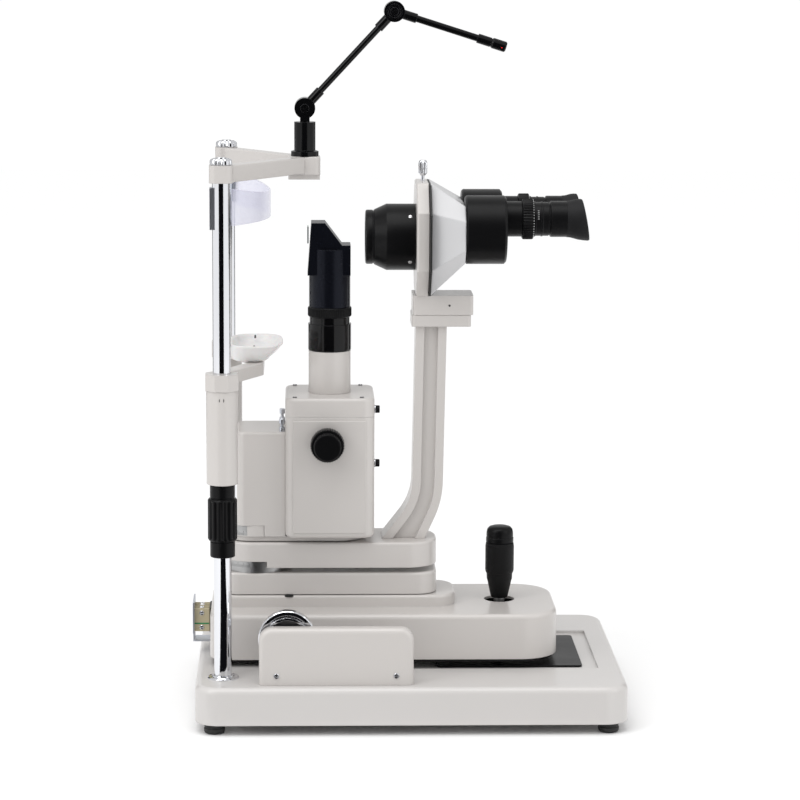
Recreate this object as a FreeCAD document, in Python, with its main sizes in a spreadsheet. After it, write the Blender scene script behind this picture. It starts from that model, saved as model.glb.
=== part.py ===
import FreeCAD, Part
import math
import os
import re

import Sketcher
from FreeCAD import Placement, Rotation, Vector

# Slit lamp on its sliding base.
# Frame: +X points from the patient to the examiner, +Z is up, and Y = 0 is the plane of symmetry.
# The examiner's left is the -Y side. The origin is under the middle of the base, where the feet rest.

doc = FreeCAD.newDocument("slit_lamp")
sheet = doc.addObject("Spreadsheet::Sheet", "Sizes")

# ---------------------------------------------------------------------------------------------
# Driving dimensions, in millimetres and degrees
# ---------------------------------------------------------------------------------------------

SIZES = {
    "Fits": {
        "running_gap": 0.05,
        "clear_gap": 0.6,
        "slide_gap": 0.2,
        "screw_sink": 0.4,
    },
    "Base": {
        "base_length": 400,
        "base_width": 300,
        "base_height": 35,
        "base_wall": 9,
        "base_deck": 8,
        "base_corner": 22,
        "base_edge": 6,
        "foot_height": 10,
        "foot_radius": 9.7,
        "foot_inset_x": 18,
        "foot_inset_y": 15,
        "recess_depth": 3,
        "recess_end": 178,
        "recess_start": -140,
        "recess_half": 76,
        "post_boss": 46,
    },
    "Track": {
        "axle_x": -115,
        "wheel_radius": 27,
        "wheel_width": 9,
        "wheel_offset": 120,
        "rail_height": 13,
        "rail_width": 14,
        "rail_start": -138,
        "rail_end": -2,
        "axle_radius": 4,
        "sleeve_radius": 6.5,
        "sleeve_half": 113,
        "cover_start": -141,
        "cover_end": 1.4,
        "cover_height": 53.5,
        "cover_depth": 11,
        "cover_front": 139,
        "cover_wall": 2.5,
        "cover_corner": 12,
        "cover_edge": 5,
        "cover_screw_radius": 2.6,
        "cover_screw_rise": 9,
        "cover_screw_inset": 16,
    },
    "Posts": {
        "post_x": -174.5,
        "post_y": 107,
        "post_radius": 8.25,
        "post_bore": 6.2,
        "post_top": 521,
        "flange_radius": 14.5,
        "flange_height": 3,
        "cap_radius": 10.2,
        "cap_height": 7,
    },
    "ChinRest": {
        "nut_bottom": 160,
        "nut_low_end": 175.4,
        "nut_grip_end": 214.5,
        "nut_top": 227.5,
        "nut_radius": 11.5,
        "nut_grip_radius": 13.5,
        "chin_sleeve_bottom": 228,
        "chin_sleeve_top": 315,
        "chin_sleeve_radius": 14.5,
        "collar_across": 30,
        "collar_height": 15.5,
        "bar_middle_x": -145.5,
        "bar_height": 11.7,
        "bar_width": 17,
        "bar_bow_half": 36,
        "cup_front_x": -170,
        "cup_back_x": -119,
        "cup_half": 45,
        "cup_bottom": 331.5,
        "cup_height": 15,
        "cup_wall": 2.4,
        "cup_corner": 12,
        "cup_belly": 6,
        "cup_post_radius": 7,
    },
    "Brow": {
        "clamp_height": 16,
        "clamp_wall": 2.55,
        "clamp_round": 6.5,
        "arm_step": 0.4,
        "bow_end_x": -84,
        "bow_block": 30,
        "bow_block_half": 13,
        "bow_lip": 4.5,
        "band_top": 488.7,
        "band_height": 24,
        "band_end_height": 34,
        "band_apex_x": -130.5,
        "band_end_x": -164,
        "band_end_y": 97,
        "band_thickness": 1.6,
        "clip_height": 38,
        "clip_thickness": 2.2,
        "clip_wrap": 3,
        "clip_width": 12,
        "clip_screw_radius": 2,
        "clip_screw_pitch": 21,
    },
    "Fixation": {
        "fix_x": -98.5,
        "fix_flange_radius": 13,
        "fix_flange_height": 4.5,
        "fix_socket_radius": 10,
        "fix_socket_height": 27.5,
        "fix_neck_radius": 4.5,
        "elbow_radius": 9.75,
        "elbow_thickness": 9.4,
        "elbow_rise": 13,
        "upper_elbow_x": -15,
        "upper_elbow_z": 656,
        "rod_radius": 3.25,
        "rod_sleeve_radius": 4.5,
        "rod_sleeve_length": 13,
        "tip_x": 83.5,
        "tip_z": 625,
        "tip_length": 15,
        "tip_radius": 5,
        "pivot_radius": 3,
    },
    "Carriage": {
        "shell_start": -188,
        "shell_end": 141,
        "shell_half": 69,
        "shell_bottom": 52,
        "shell_top": 95,
        "shell_wall": 2.5,
        "shell_corner": 37,
        "shell_edge": 4.5,
        "stage_end": 45,
        "stage_start": -182,
        "stage_half": 36,
        "stage_top": 106.5,
        "stage_corner": 22,
        "stage_edge": 3,
        "deck_plate": 4,
        "deck_inset": 1,
        "bush_width": 24,
        "bush_length": 16,
        "bush_offset": 55,
    },
    "Terminal": {
        "bracket_x": -205.5,
        "bracket_half": 20,
        "bracket_bottom": 56,
        "bracket_top": 96,
        "bracket_sheet": 1.5,
        "board_bottom": 66,
        "board_height": 24,
        "board_half": 15,
    },
    "Joystick": {
        "stick_x": 88.5,
        "stick_hole_radius": 14.5,
        "pivot_z": 78,
        "stem_radius": 5,
        "gimbal_outer": 17,
        "gimbal_inner": 12.4,
        "gimbal_height": 7,
        "gimbal_pin_radius": 1.5,
        "collar_outer": 23,
        "tilt_sleeve_radius": 7.5,
        "tilt_sleeve_length": 20,
        "grip_bottom": 97,
        "grip_neck_radius": 7.2,
        "grip_taper": 11,
        "grip_radius": 13.75,
        "grip_shoulder": 147,
        "grip_cap_radius": 12.5,
        "grip_top": 167,
        "stem_ball_radius": 6,
    },
    "Lift": {
        "swing_x": -145,
        "guide_radius": 19,
        "column_radius": 14,
        "column_bottom": 74,
        "screw_radius": 4.5,
        "screw_wheel_radius": 13,
        "screw_wheel_height": 6,
        "spring_radius": 9.2,
        "spring_wire": 0.95,
        "spring_turns": 3,
        "lift_bottom": 107.3,
        "lift_top": 128,
        "lift_end": 27,
        "lift_start": -181,
        "lift_half": 34,
        "lift_corner": 20,
        "scale_radius": 34,
        "scale_height": 11,
        "swing_radius": 10,
        "arm_step_x": 10.5,
        "swing_top": 172,
        "plan_edge": 2.5,
    },
    "Microscope": {
        "arm_bottom": 133.3,
        "arm_top": 157.5,
        "arm_end": 27,
        "arm_half": 36,
        "arm_corner": 30,
        "column_foot_back": -25.5,
        "column_foot_front": 15.5,
        "column_back": 6.3,
        "column_front": 35.3,
        "column_knee": 194.5,
        "column_knee_radius": 55,
        "column_sweep_radius": 88,
        "column_lean": 3,
        "column_half": 17,
        "column_top": 362,
        "column_rim": 8,
        "column_foot_rim": 9.6,
        "column_recess": 5,
        "platform_end": 58,
        "platform_start": 2,
        "platform_half": 22,
        "platform_height": 11,
        "block_height": 18.5,
        "block_end": 60,
        "plate_back": 5.6,
        "plate_thickness": 11.4,
        "plate_half": 50,
        "plate_top": 497.5,
        "plate_chamfer": 26,
        "plate_axis_z": 444.7,
        "hood_gap": 2,
        "hood_inset": 4,
        "hood_front": 50.5,
        "hood_half": 62,
        "hood_low": 425,
        "hood_high": 478,
    },
    "Optics": {
        "objective_front": -41.5,
        "objective_flange": 7.5,
        "objective_flange_radius": 25.6,
        "objective_cone_end": -22,
        "objective_radius": 31.3,
        "objective_bore": 19,
        "drum_y": 33,
        "drum_z": 455,
        "drum_radius": 32,
        "drum_end": 89,
        "eye_y": 27,
        "eye_z": 464.5,
        "tube_end": 104,
        "tube_radius": 16.5,
        "diopter_end": 115,
        "diopter_radius": 19,
        "barrel_end": 150,
        "barrel_radius": 16.8,
        "eyecup_end": 166,
        "eye_bore": 11,
        "thumb_radius": 4.2,
        "thumb_height": 14,
        "thumb_stem": 2,
        "thumb_x": 12.5,
    },
    "Illumination": {
        "tower_x": -75,
        "lamp_arm_bottom": 158.3,
        "lamp_arm_top": 163,
        "lamp_arm_half": 31,
        "box_start": -117,
        "box_end": -33,
        "box_half": 45,
        "box_bottom": 163.3,
        "box_top": 297,
        "box_wall": 3,
        "box_corner": 11,
        "box_groove_z": 279,
        "bracket_start": -163,
        "bracket_foot": 173.5,
        "bracket_lid": 263.6,
        "bracket_width": 34,
        "bracket_rounding": 8,
        "bracket_step": 8,
        "vent_start": 33.5,
        "vent_width": 7,
        "vent_half_length": 20,
        "knob_x": -77.5,
        "knob_z": 255,
        "knob_radius": 16,
        "knob_face_radius": 12.8,
        "knob_reach": 73,
        "knob_shaft": 4,
        "bulb_radius": 9,
        "bulb_top": 236,
        "white_tube_radius": 20,
        "white_tube_top": 337,
        "white_tube_bore": 15,
        "collar_top": 362.5,
        "collar_radius": 20.4,
        "neck_radius": 19,
        "neck_top": 369.3,
        "ring_top": 378.6,
        "ring_radius": 20.7,
        "barrel_top": 409.6,
        "upper_radius": 19.5,
        "blade_z": 318,
        "blade_gap": 0.8,
        "blade_length": 7,
        "blade_width": 16,
        "blade_thickness": 1.2,
        "head_radius": 19.5,
        "head_plate_top": 459,
        "head_flat_end": -79.5,
        "head_slope_end": -63.5,
        "head_round_top": 433.5,
        "head_shoulder_x": -55.5,
        "head_shoulder_z": 438,
        "head_left": -96,
        "head_bore": 12,
        "hub_radius": 34,
    },
    "Edges and small parts": {
        "foot_bevel": 1.6,
        "foot_bevel_height": 3,
        "foot_screw_depth": 4,
        "foot_screw_room": 2,
        "rail_chamfer": 1.5,
        "cover_screw_sink": 0.8,
        "glide_reach": 62,
        "glide_end_gap": 14,
        "glide_side_gap": 15,
        "glide_corner": 4,
        "flange_bevel": 1.2,
        "arm_lap": 2,
        "arm_side_lap": 4,
        "arm_tip_lap": 0.5,
        "bow_edge": 1.5,
        "bow_block_corner": 5,
        "lip_inset": 3,
        "clip_lap": 4,
        "clip_foot": 4,
        "clip_top": 30,
        "clip_screw_height": 1.6,
        "nut_edge": 1.5,
        "octagon_share": 0.207,
        "cup_rise": 1.5,
        "bar_lap": 0.6,
        "socket_lip": 1.5,
        "stem_neck_lap": 2.5,
        "bore_overrun": 1,
        "tip_step": 0.4,
        "tread_bevel": 1.2,
        "tread_width": 4,
        "groove_slope": 1,
        "groove_depth": 1.5,
        "web_start": 9,
        "web_sink": 1,
        "guide_clearance": 4,
        "guide_half": 2.5,
        "spring_gap": 0.1,
        "board_rise": 10,
        "pin_lap": 0.5,
        "stem_in_grip": 6,
        "cap_shoulder": 6,
        "cap_round": 1,
        "cap_flat": 5,
        "platform_corner": 3,
        "platform_edge": 1.5,
        "lens_sink": 4,
        "lens_bulge": 0.8,
        "lens_edge": 3,
        "lens_thickness": 7,
        "thumb_neck": 6,
        "thumb_bevel": 1,
        "drum_edge": 1.5,
        "barrel_step": 1,
        "barrel_neck": 15,
        "eyecup_foot": 1.4,
        "eyecup_rim": 2.2,
        "eyecup_lip": 3,
        "eyecup_throat": 1.5,
        "arm_end_gap": 6,
        "bracket_round": 3,
        "box_foot_round": 4,
        "lid_round": 3,
        "bulb_cap_radius": 13,
        "bulb_cap": 16,
        "bulb_neck": 2,
        "bulb_belly": 16,
        "bulb_shoulder": 6,
        "bulb_crown": 4,
        "knob_face": 7,
        "knob_slope": 2,
        "knob_skirt": 6,
        "knob_bevel": 3,
        "head_plate_lean": 3.5,
        "head_side_inset": 4,
    },
}

row = 0
for group, values in SIZES.items():
    row += 1
    sheet.set("A%d" % row, group)
    for alias, number in values.items():
        row += 1
        sheet.set("A%d" % row, alias.replace("_", " "))
        sheet.set("B%d" % row, str(number))
        sheet.setAlias("B%d" % row, alias)
doc.recompute()

ALIASES = {alias for values in SIZES.values() for alias in values}

# ---------------------------------------------------------------------------------------------
# Ways of making a piece
# ---------------------------------------------------------------------------------------------

QUARTER_TURN = 90
FULL_TURN = 360
SAME_LEVEL = 0.01
ALONG_X = Rotation(Vector(0, 1, 0), QUARTER_TURN)
ALONG_Y = Rotation(Vector(1, 0, 0), -QUARTER_TURN)
UPRIGHT = Rotation()
NEAR = 1e-4

nodes = []


def bound(text):
    """Spell a size expression with the sheet's name in front of each alias."""
    return re.sub(r"[a-z_]+", lambda word: "Sizes." + word[0] if word[0] in ALIASES else word[0], str(text))


def number(text):
    """The present value of a size expression."""
    return float(sheet.evalExpression(bound(text)))


def bind(thing, **properties):
    """Tie properties of an object to size expressions."""
    for name, text in properties.items():
        setattr(thing, name, number(text))
        thing.setExpression(name, bound(text))


def place(thing, x=0, y=0, z=0, rotation=UPRIGHT):
    """Put an object's own origin at a place given by size expressions."""
    thing.Placement = Placement(Vector(number(x), number(y), number(z)), rotation)
    for axis, text in (("x", x), ("y", y), ("z", z)):
        thing.setExpression("Placement.Base." + axis, bound(text))
    return thing


def node(thing, label):
    """Name a finished sub-part: its Label is the name of its file."""
    thing.Label = label
    nodes.append(thing)
    return thing


def new_body(name):
    return doc.addObject("PartDesign::Body", name)


def sketch_on(body, role, offset=0):
    """A sketch on one of the body's own origin planes, moved along the plane's normal."""
    plane = [item for item in body.Origin.OriginFeatures if item.Role == role][0]
    sketch = body.newObject("Sketcher::SketchObject", body.Name + "_outline")
    sketch.AttachmentSupport = [(plane, "")]
    sketch.MapMode = "FlatFace"
    if offset:
        sketch.AttachmentOffset = Placement(Vector(0, 0, number(offset)), Rotation())
        sketch.setExpression("AttachmentOffset.Base.z", bound(offset))
    return sketch


def arc_between(start, end, radius):
    """An anticlockwise arc of a given radius from one point to another."""
    middle = (start + end) / 2
    chord = end - start
    rise = math.sqrt(max(radius ** 2 - (chord.Length / 2) ** 2, 0))
    centre = middle + Vector(-chord.y, chord.x, 0).normalize() * rise
    first = math.atan2(start.y - centre.y, start.x - centre.x)
    last = math.atan2(end.y - centre.y, end.x - centre.x)
    return Part.ArcOfCircle(Part.Circle(centre, Vector(0, 0, 1), radius), first, last)


def outline(body, role, points, offset=0):
    """A closed outline whose corners are held by size expressions.

    A corner is (x, y), or (x, y, radius) where the side that leaves it is an anticlockwise arc.
    """
    sketch = sketch_on(body, role, offset)
    spots = [Vector(number(point[0]), number(point[1]), 0) for point in points]
    count = len(spots)
    for i, point in enumerate(points):
        start, end = spots[i], spots[(i + 1) % count]
        if len(point) == 3:
            side = arc_between(start, end, number(point[2]))
        else:
            side = Part.LineSegment(start, end)
        sketch.addGeometry(side, False)
    for i in range(count):
        sketch.addConstraint(Sketcher.Constraint("Coincident", i, 2, (i + 1) % count, 1))
    for i, point in enumerate(points):
        holds = [
            (Sketcher.Constraint("DistanceX", -1, 1, i, 1, spots[i].x), point[0]),
            (Sketcher.Constraint("DistanceY", -1, 1, i, 1, spots[i].y), point[1]),
        ]
        if len(point) == 3:
            holds.append((Sketcher.Constraint("Radius", i, number(point[2])), point[2]))
        for constraint, text in holds:
            index = sketch.addConstraint(constraint)
            sketch.setExpression("Constraints[%d]" % index, bound(text))
    return sketch


def circles(body, role, spots, offset=0):
    """A sketch of circles, each given as (x, y, radius)."""
    sketch = sketch_on(body, role, offset)
    for i, (x, y, radius) in enumerate(spots):
        centre = Vector(number(x), number(y), 0)
        sketch.addGeometry(Part.Circle(centre, Vector(0, 0, 1), number(radius)), False)
        holds = (
            (Sketcher.Constraint("DistanceX", -1, 1, i, 3, centre.x), x),
            (Sketcher.Constraint("DistanceY", -1, 1, i, 3, centre.y), y),
            (Sketcher.Constraint("Radius", i, number(radius)), radius),
        )
        for constraint, text in holds:
            index = sketch.addConstraint(constraint)
            sketch.setExpression("Constraints[%d]" % index, bound(text))
    return sketch


def rectangle(x0, x1, y0, y1, low=None, high=None):
    """A rectangle between size expressions; low and high round its corners at x0 and at x1."""
    points = []
    if low:
        points += [(x0, "%s + %s" % (y0, low), low), ("%s + %s" % (x0, low), y0)]
    else:
        points += [(x0, y0)]
    if high:
        points += [("%s - (%s)" % (x1, high), y0, high), (x1, "%s + %s" % (y0, high))]
        points += [(x1, "%s - (%s)" % (y1, high), high), ("%s - (%s)" % (x1, high), y1)]
    else:
        points += [(x1, y0), (x1, y1)]
    if low:
        points += [("%s + %s" % (x0, low), y1, low), (x0, "%s - (%s)" % (y1, low))]
    else:
        points += [(x0, y1)]
    return points


def settle(feature):
    """Recompute, and stop at once if a feature has failed."""
    doc.recompute()
    if "Invalid" in feature.State or "Error" in feature.State:
        raise RuntimeError("%s did not recompute" % feature.Name)
    return feature


def pad(body, sketch, length, both=False, back=False):
    feature = body.newObject("PartDesign::Pad", body.Name + "_pad")
    feature.Profile = sketch
    feature.SideType = "Symmetric" if both else "One side"
    feature.Reversed = back
    bind(feature, Length=length)
    return settle(feature)


def pocket(body, sketch, length, both=False, back=False):
    """Cut an outline out of the body, and make sure that the cut took something away."""
    before = body.Shape.Volume
    feature = body.newObject("PartDesign::Pocket", body.Name + "_pocket")
    feature.Profile = sketch
    feature.SideType = "Symmetric" if both else "One side"
    feature.Reversed = back
    bind(feature, Length=length)
    settle(feature)
    if body.Shape.Volume > before - NEAR:
        raise RuntimeError("a pocket in %s cuts nothing" % body.Name)
    return feature


def turned(name, profile, role="XZ_Plane"):
    """A body of revolution: the profile's points are (radius, height) about the body's own Z axis."""
    body = new_body(name)
    sketch = outline(body, role, profile)
    feature = body.newObject("PartDesign::Revolution", name + "_turn")
    feature.Profile = sketch
    feature.ReferenceAxis = (sketch, ["V_Axis"])
    feature.Angle = FULL_TURN
    settle(feature)
    return body


def tube(name, inner, outer, length):
    return turned(name, rectangle(inner, outer, "0", length))


def edges(body, test):
    """The names of the tip's edges that pass a test."""
    return ["Edge%d" % (i + 1) for i, edge in enumerate(body.Tip.Shape.Edges) if test(edge)]


def parallel(axis):
    """A test for straight edges that run along an axis (0, 1 or 2)."""

    def test(edge):
        if not isinstance(edge.Curve, Part.Line):
            return False
        return abs(abs(edge.Curve.Direction[axis]) - 1) < NEAR

    return test


def level(axis, text):
    """A test for edges that lie in one plane, square to an axis."""
    height = number(text)

    def test(edge):
        box = edge.BoundBox
        low = (box.XMin, box.YMin, box.ZMin)[axis]
        high = (box.XMax, box.YMax, box.ZMax)[axis]
        return abs(low - height) < SAME_LEVEL and abs(high - height) < SAME_LEVEL

    return test


def within(axis, text):
    """A test for edges that stay within a distance of the plane of symmetry of an axis."""
    reach = number(text)

    def test(edge):
        box = edge.BoundBox
        low = (box.XMin, box.YMin, box.ZMin)[axis]
        high = (box.XMax, box.YMax, box.ZMax)[axis]
        return -reach < low and high < reach

    return test


def both_tests(first, second):
    return lambda edge: first(edge) and second(edge)


def round_off(body, test, radius):
    base = body.Tip
    names = edges(body, test)
    feature = body.newObject("PartDesign::Fillet", body.Name + "_fillet")
    feature.Base = (base, names)
    bind(feature, Radius=radius)
    return settle(feature)


def chamfer_off(body, test, size):
    base = body.Tip
    names = edges(body, test)
    feature = body.newObject("PartDesign::Chamfer", body.Name + "_chamfer")
    feature.Base = (base, names)
    bind(feature, Size=size)
    return settle(feature)


def slab(name, points, bottom, height, corner=None, edge=None):
    """A flat piece cut from a plan outline, with its upright corners and its top edge rounded."""
    body = new_body(name)
    pad(body, outline(body, "XY_Plane", points, bottom), height)
    if corner:
        round_off(body, parallel(2), corner)
    if edge:
        round_off(body, level(2, "%s + %s" % (bottom, height)), edge)
    return body


def mirrored(thing, name):
    """The same piece on the other side of the plane of symmetry."""
    twin = doc.addObject("Part::Mirroring", name)
    twin.Source = thing
    twin.Normal = Vector(0, 1, 0)
    twin.Base = Vector(0, 0, 0)
    return twin


def together(name, things):
    """Several separate solids that make one sub-part."""
    group = doc.addObject("Part::Compound", name)
    group.Links = things
    return group


def pair(name, thing):
    return together(name, [thing, mirrored(thing, name + "_twin")])


def joined(name, things):
    fuse = doc.addObject("Part::MultiFuse", name)
    fuse.Shapes = things
    fuse.Refine = True
    return fuse


def minus(name, base, tool):
    cut = doc.addObject("Part::Cut", name)
    cut.Base = base
    cut.Tool = tool
    cut.Refine = True
    return cut


def cylinder(name, radius, height, x=0, y=0, z=0, rotation=UPRIGHT):
    piece = doc.addObject("Part::Cylinder", name)
    bind(piece, Radius=radius, Height=height)
    return place(piece, x, y, z, rotation)


def cuboid(name, x, y, z):
    """A box between two size expressions on each axis."""
    piece = doc.addObject("Part::Box", name)
    bind(
        piece,
        Length="%s - (%s)" % (x[1], x[0]),
        Width="%s - (%s)" % (y[1], y[0]),
        Height="%s - (%s)" % (z[1], z[0]),
    )
    return place(piece, x[0], y[0], z[0])


# ---------------------------------------------------------------------------------------------
# Base: a hollow casting on four rubber feet, with two track rails and their covers
# ---------------------------------------------------------------------------------------------

base_top = "foot_height + base_height"
base = slab(
    "base",
    rectangle("-base_length / 2", "base_length / 2", "-base_width / 2", "base_width / 2"),
    "foot_height",
    "base_height",
    "base_corner",
    "base_edge",
)
recess = rectangle("recess_start", "recess_end", "-recess_half", "recess_half")
pocket(base, outline(base, "XY_Plane", recess, base_top), "recess_depth")
hollow = rectangle(
    "-base_length / 2 + post_boss",
    "base_length / 2 - foot_inset_x - foot_radius - base_wall",
    "-base_width / 2 + base_wall",
    "base_width / 2 - base_wall",
)
pocket(
    base,
    outline(base, "XY_Plane", hollow, "foot_height"),
    "base_height - recess_depth - base_deck",
    back=True,
)
node(base, "base_casting")

foot_profile = [
    ("screw_sink + 2", "0"),
    ("foot_radius - foot_bevel", "0"),
    ("foot_radius", "foot_bevel_height"),
    ("foot_radius", "foot_height"),
    ("0", "foot_height"),
    ("0", "foot_screw_depth"),
    ("screw_sink + foot_screw_room", "foot_screw_depth"),
]
feet = []
for x_side in ("-", ""):
    for y_side in ("-", ""):
        foot = turned("foot", foot_profile)
        x = "%s(base_length / 2 - foot_inset_x)" % x_side
        y = "%s(base_width / 2 - foot_inset_y)" % y_side
        feet.append(place(foot, x, y))
node(together("feet", feet), "rubber_feet")

rail_top = "%s + rail_height" % base_top
axle_z = "%s + wheel_radius" % rail_top
rail = slab(
    "rail",
    rectangle("rail_start", "rail_end", "-wheel_offset - rail_width / 2", "-wheel_offset + rail_width / 2"),
    base_top,
    "rail_height",
)
chamfer_off(rail, both_tests(parallel(0), level(2, rail_top)), "rail_chamfer")
node(pair("rails", rail), "track_rails")

cover_top = "%s + cover_height" % base_top
cover = new_body("cover")
cover_face = rectangle("cover_start", "cover_end", base_top, cover_top)
pad(cover, outline(cover, "XZ_Plane", cover_face, "cover_front - cover_depth"), "cover_depth")
round_off(cover, both_tests(parallel(1), level(2, cover_top)), "cover_corner")
front_rim = both_tests(level(1, "-cover_front"), lambda edge: edge.BoundBox.ZMax > number(base_top) + 1)
round_off(cover, front_rim, "cover_edge")
cover_round = "(cover_corner - cover_wall)"
cover_hollow = [
    ("cover_start + cover_wall", base_top),
    ("cover_end - cover_wall", base_top),
    ("cover_end - cover_wall", "%s - cover_corner" % cover_top, cover_round),
    ("cover_end - cover_corner", cover_top + " - cover_wall"),
    ("cover_start + cover_corner", cover_top + " - cover_wall", cover_round),
    ("cover_start + cover_wall", "%s - cover_corner" % cover_top),
]
pocket(
    cover,
    outline(cover, "XZ_Plane", cover_hollow, "cover_front - cover_depth"),
    "cover_depth - cover_wall",
    back=True,
)
cover_screw_spots = [
    ("cover_start + cover_screw_inset", base_top + " + cover_screw_rise"),
    ("cover_end - cover_screw_inset", base_top + " + cover_screw_rise"),
]
holes = [(x, z, "cover_screw_radius") for x, z in cover_screw_spots]
pocket(cover, circles(cover, "XZ_Plane", holes, "cover_front - cover_wall"), "cover_wall", back=True)
node(pair("covers", cover), "rail_covers")

screw_profile = [
    ("0", "0"),
    ("cover_screw_radius", "0"),
    ("cover_screw_radius", "cover_wall"),
    ("0", "cover_wall - cover_screw_sink"),
]
cover_screws = []
for x, z in cover_screw_spots:
    screw = place(
        turned("cover_screw", screw_profile),
        x,
        "-cover_front + cover_wall",
        z,
        Rotation(Vector(1, 0, 0), QUARTER_TURN),
    )
    cover_screws += [screw, mirrored(screw, "cover_screw_twin")]

glide = slab(
    "glide",
    rectangle(
        "stick_x - glide_reach",
        "recess_end - glide_end_gap",
        "-recess_half + glide_side_gap",
        "recess_half - glide_side_gap",
    ),
    base_top + " - recess_depth",
    "2",
    "glide_corner",
)
node(glide, "glide_plate")

# ---------------------------------------------------------------------------------------------
# Posts with their flanges and cap nuts, and the bow that joins them at the top
# ---------------------------------------------------------------------------------------------

post = place(
    tube("post", "post_bore", "post_radius", "post_top - (%s)" % base_top), "post_x", "-post_y", base_top
)
node(pair("posts", post), "posts")

flange = tube("flange", "post_radius", "flange_radius", "flange_height")
round_off(flange, level(2, "flange_height"), "flange_bevel")
place(flange, "post_x", "-post_y", base_top)

cap_profile = [
    ("0", "0"),
    ("cap_radius", "0"),
    ("cap_radius", "cap_height - 2"),
    ("cap_radius - 2", "cap_height"),
    ("0", "cap_height"),
]
cap = place(turned("cap", cap_profile), "post_x", "-post_y", "post_top")
fittings = [flange, mirrored(flange, "flange_twin"), cap, mirrored(cap, "cap_twin")]
node(together("fittings", fittings), "post_fittings")

bow_bottom = "post_top - clamp_height"
clamp_half = "(post_radius + clamp_wall)"
clamp = slab(
    "clamp",
    rectangle(
        "post_x - " + clamp_half,
        "post_x + " + clamp_half,
        "-post_y - " + clamp_half,
        "-post_y + " + clamp_half,
    ),
    bow_bottom,
    "clamp_height",
    "clamp_round",
)
arm_points = [
    ("post_x + %s - arm_lap" % clamp_half, "-post_y + %s - arm_side_lap" % clamp_half),
    ("post_x - 2", "-post_y + %s - 1" % clamp_half),
    ("bow_end_x - bow_block + arm_lap", "-bow_block_half + arm_side_lap"),
    ("bow_end_x - bow_block / 2", "-bow_block_half + arm_tip_lap"),
    ("bow_end_x - bow_block / 2", "-bow_block_half - 2"),
    ("post_x + %s - 1" % clamp_half, "-post_y - 1"),
]
bow_arm = slab(
    "bow_arm", arm_points, bow_bottom + " + arm_step", "clamp_height - 2 * arm_step", None, "bow_edge"
)
bow_block = slab(
    "bow_block",
    rectangle("bow_end_x - bow_block", "bow_end_x", "-bow_block_half", "bow_block_half"),
    bow_bottom + " - 1",
    "clamp_height + 1",
    "bow_block_corner",
    "bow_edge",
)
bow_lip = cuboid(
    "bow_lip_plate",
    ("bow_end_x - bow_block", "bow_end_x - arm_step"),
    ("-bow_block_half + lip_inset", "bow_block_half - lip_inset"),
    (bow_bottom + " - 1 - bow_lip", bow_bottom),
)
bow_pieces = [
    clamp, bow_arm, mirrored(clamp, "clamp_twin"), mirrored(bow_arm, "bow_arm_twin"), bow_block, bow_lip
]
bow_bore = cylinder("bow_bore", "post_radius", "clamp_height + 2", "post_x", "-post_y", bow_bottom + " - 1")
bow_bores = joined("bow_bores", [bow_bore, mirrored(bow_bore, "bow_bore_twin")])
node(minus("bow_bored", joined("bow", bow_pieces), bow_bores), "brow_bow")

# ---------------------------------------------------------------------------------------------
# Forehead band: a bowed strip held behind each post by a screwed clip
# ---------------------------------------------------------------------------------------------


def bowed_strip(name, thickness):
    """A strip bent in plan along an arc through its apex, tall at the ends."""
    apex = number("band_apex_x")
    end_x = number("band_end_x")
    end_y = number("band_end_y")
    outer = Part.Arc(Vector(end_x, -end_y, 0), Vector(apex, 0, 0), Vector(end_x, end_y, 0))
    inner = Part.Arc(
        Vector(end_x - thickness, -end_y, 0), Vector(apex - thickness, 0, 0), Vector(
            end_x - thickness, end_y, 0
        )
    )
    sides = [
        outer.toShape(),
        Part.LineSegment(Vector(end_x, end_y, 0), Vector(end_x - thickness, end_y, 0)).toShape(),
        inner.toShape(),
        Part.LineSegment(Vector(end_x - thickness, -end_y, 0), Vector(end_x, -end_y, 0)).toShape(),
    ]
    height = number("band_end_height")
    lower = number("band_end_height - band_height")
    solid = Part.Face(Part.Wire(Part.__sortEdges__(sides))).extrude(Vector(0, 0, height))
    dip = Part.Arc(
        Vector(0, -end_y, height), Vector(0, 0, height - lower), Vector(0, end_y, height)
    ).toShape(
        
    )
    lid = Part.LineSegment(Vector(0, end_y, height), Vector(0, -end_y, height)).toShape()
    scoop = Part.Face(Part.Wire([dip, lid])).extrude(Vector(number("base_length"), 0, 0))
    scoop.translate(Vector(-number("base_length"), 0, 0))
    strip = doc.addObject("Part::Feature", name)
    strip.Shape = solid.cut(scoop)
    return strip


band_bottom = "band_top - band_height"
band = bowed_strip("band", number("band_thickness"))
place(band, z=band_bottom)
node(band, "forehead_band")

clip_x = "post_x - post_radius - clip_thickness"
clip = joined(
    "clip",
    [
        cuboid(
            "clip_plate",
            (clip_x, "post_x - post_radius + clip_wrap"),
            ("-post_y - clip_width / 2", "-post_y + clip_width / 2"),
            (band_bottom + " - 2", band_bottom + " - 2 + clip_height"),
        ),
        cuboid(
            "clip_tongue",
            ("band_end_x - band_thickness - clip_thickness", "band_end_x - band_thickness"),
            ("-post_y", "-band_end_y + clip_lap"),
            (band_bottom + " + clip_foot", band_bottom + " + clip_top"),
        ),
    ],
)
clip_bore = cylinder("clip_bore", "post_radius", "post_top", "post_x", "-post_y", "0")
node(pair("clips", minus("clip_bored", clip, clip_bore)), "band_clips")

clip_screws = []
for side in ("-", "+"):
    z = "%s - 2 + clip_height / 2 %s clip_screw_pitch / 2" % (band_bottom, side)
    head = cylinder(
        "clip_screw",
        "clip_screw_radius",
        "clip_screw_height",
        clip_x + " - clip_screw_height",
        "-post_y",
        z,
        ALONG_X,
    )
    clip_screws += [head, mirrored(head, "clip_screw_twin")]
node(together("frame_screws", cover_screws + clip_screws), "frame_screws")

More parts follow.
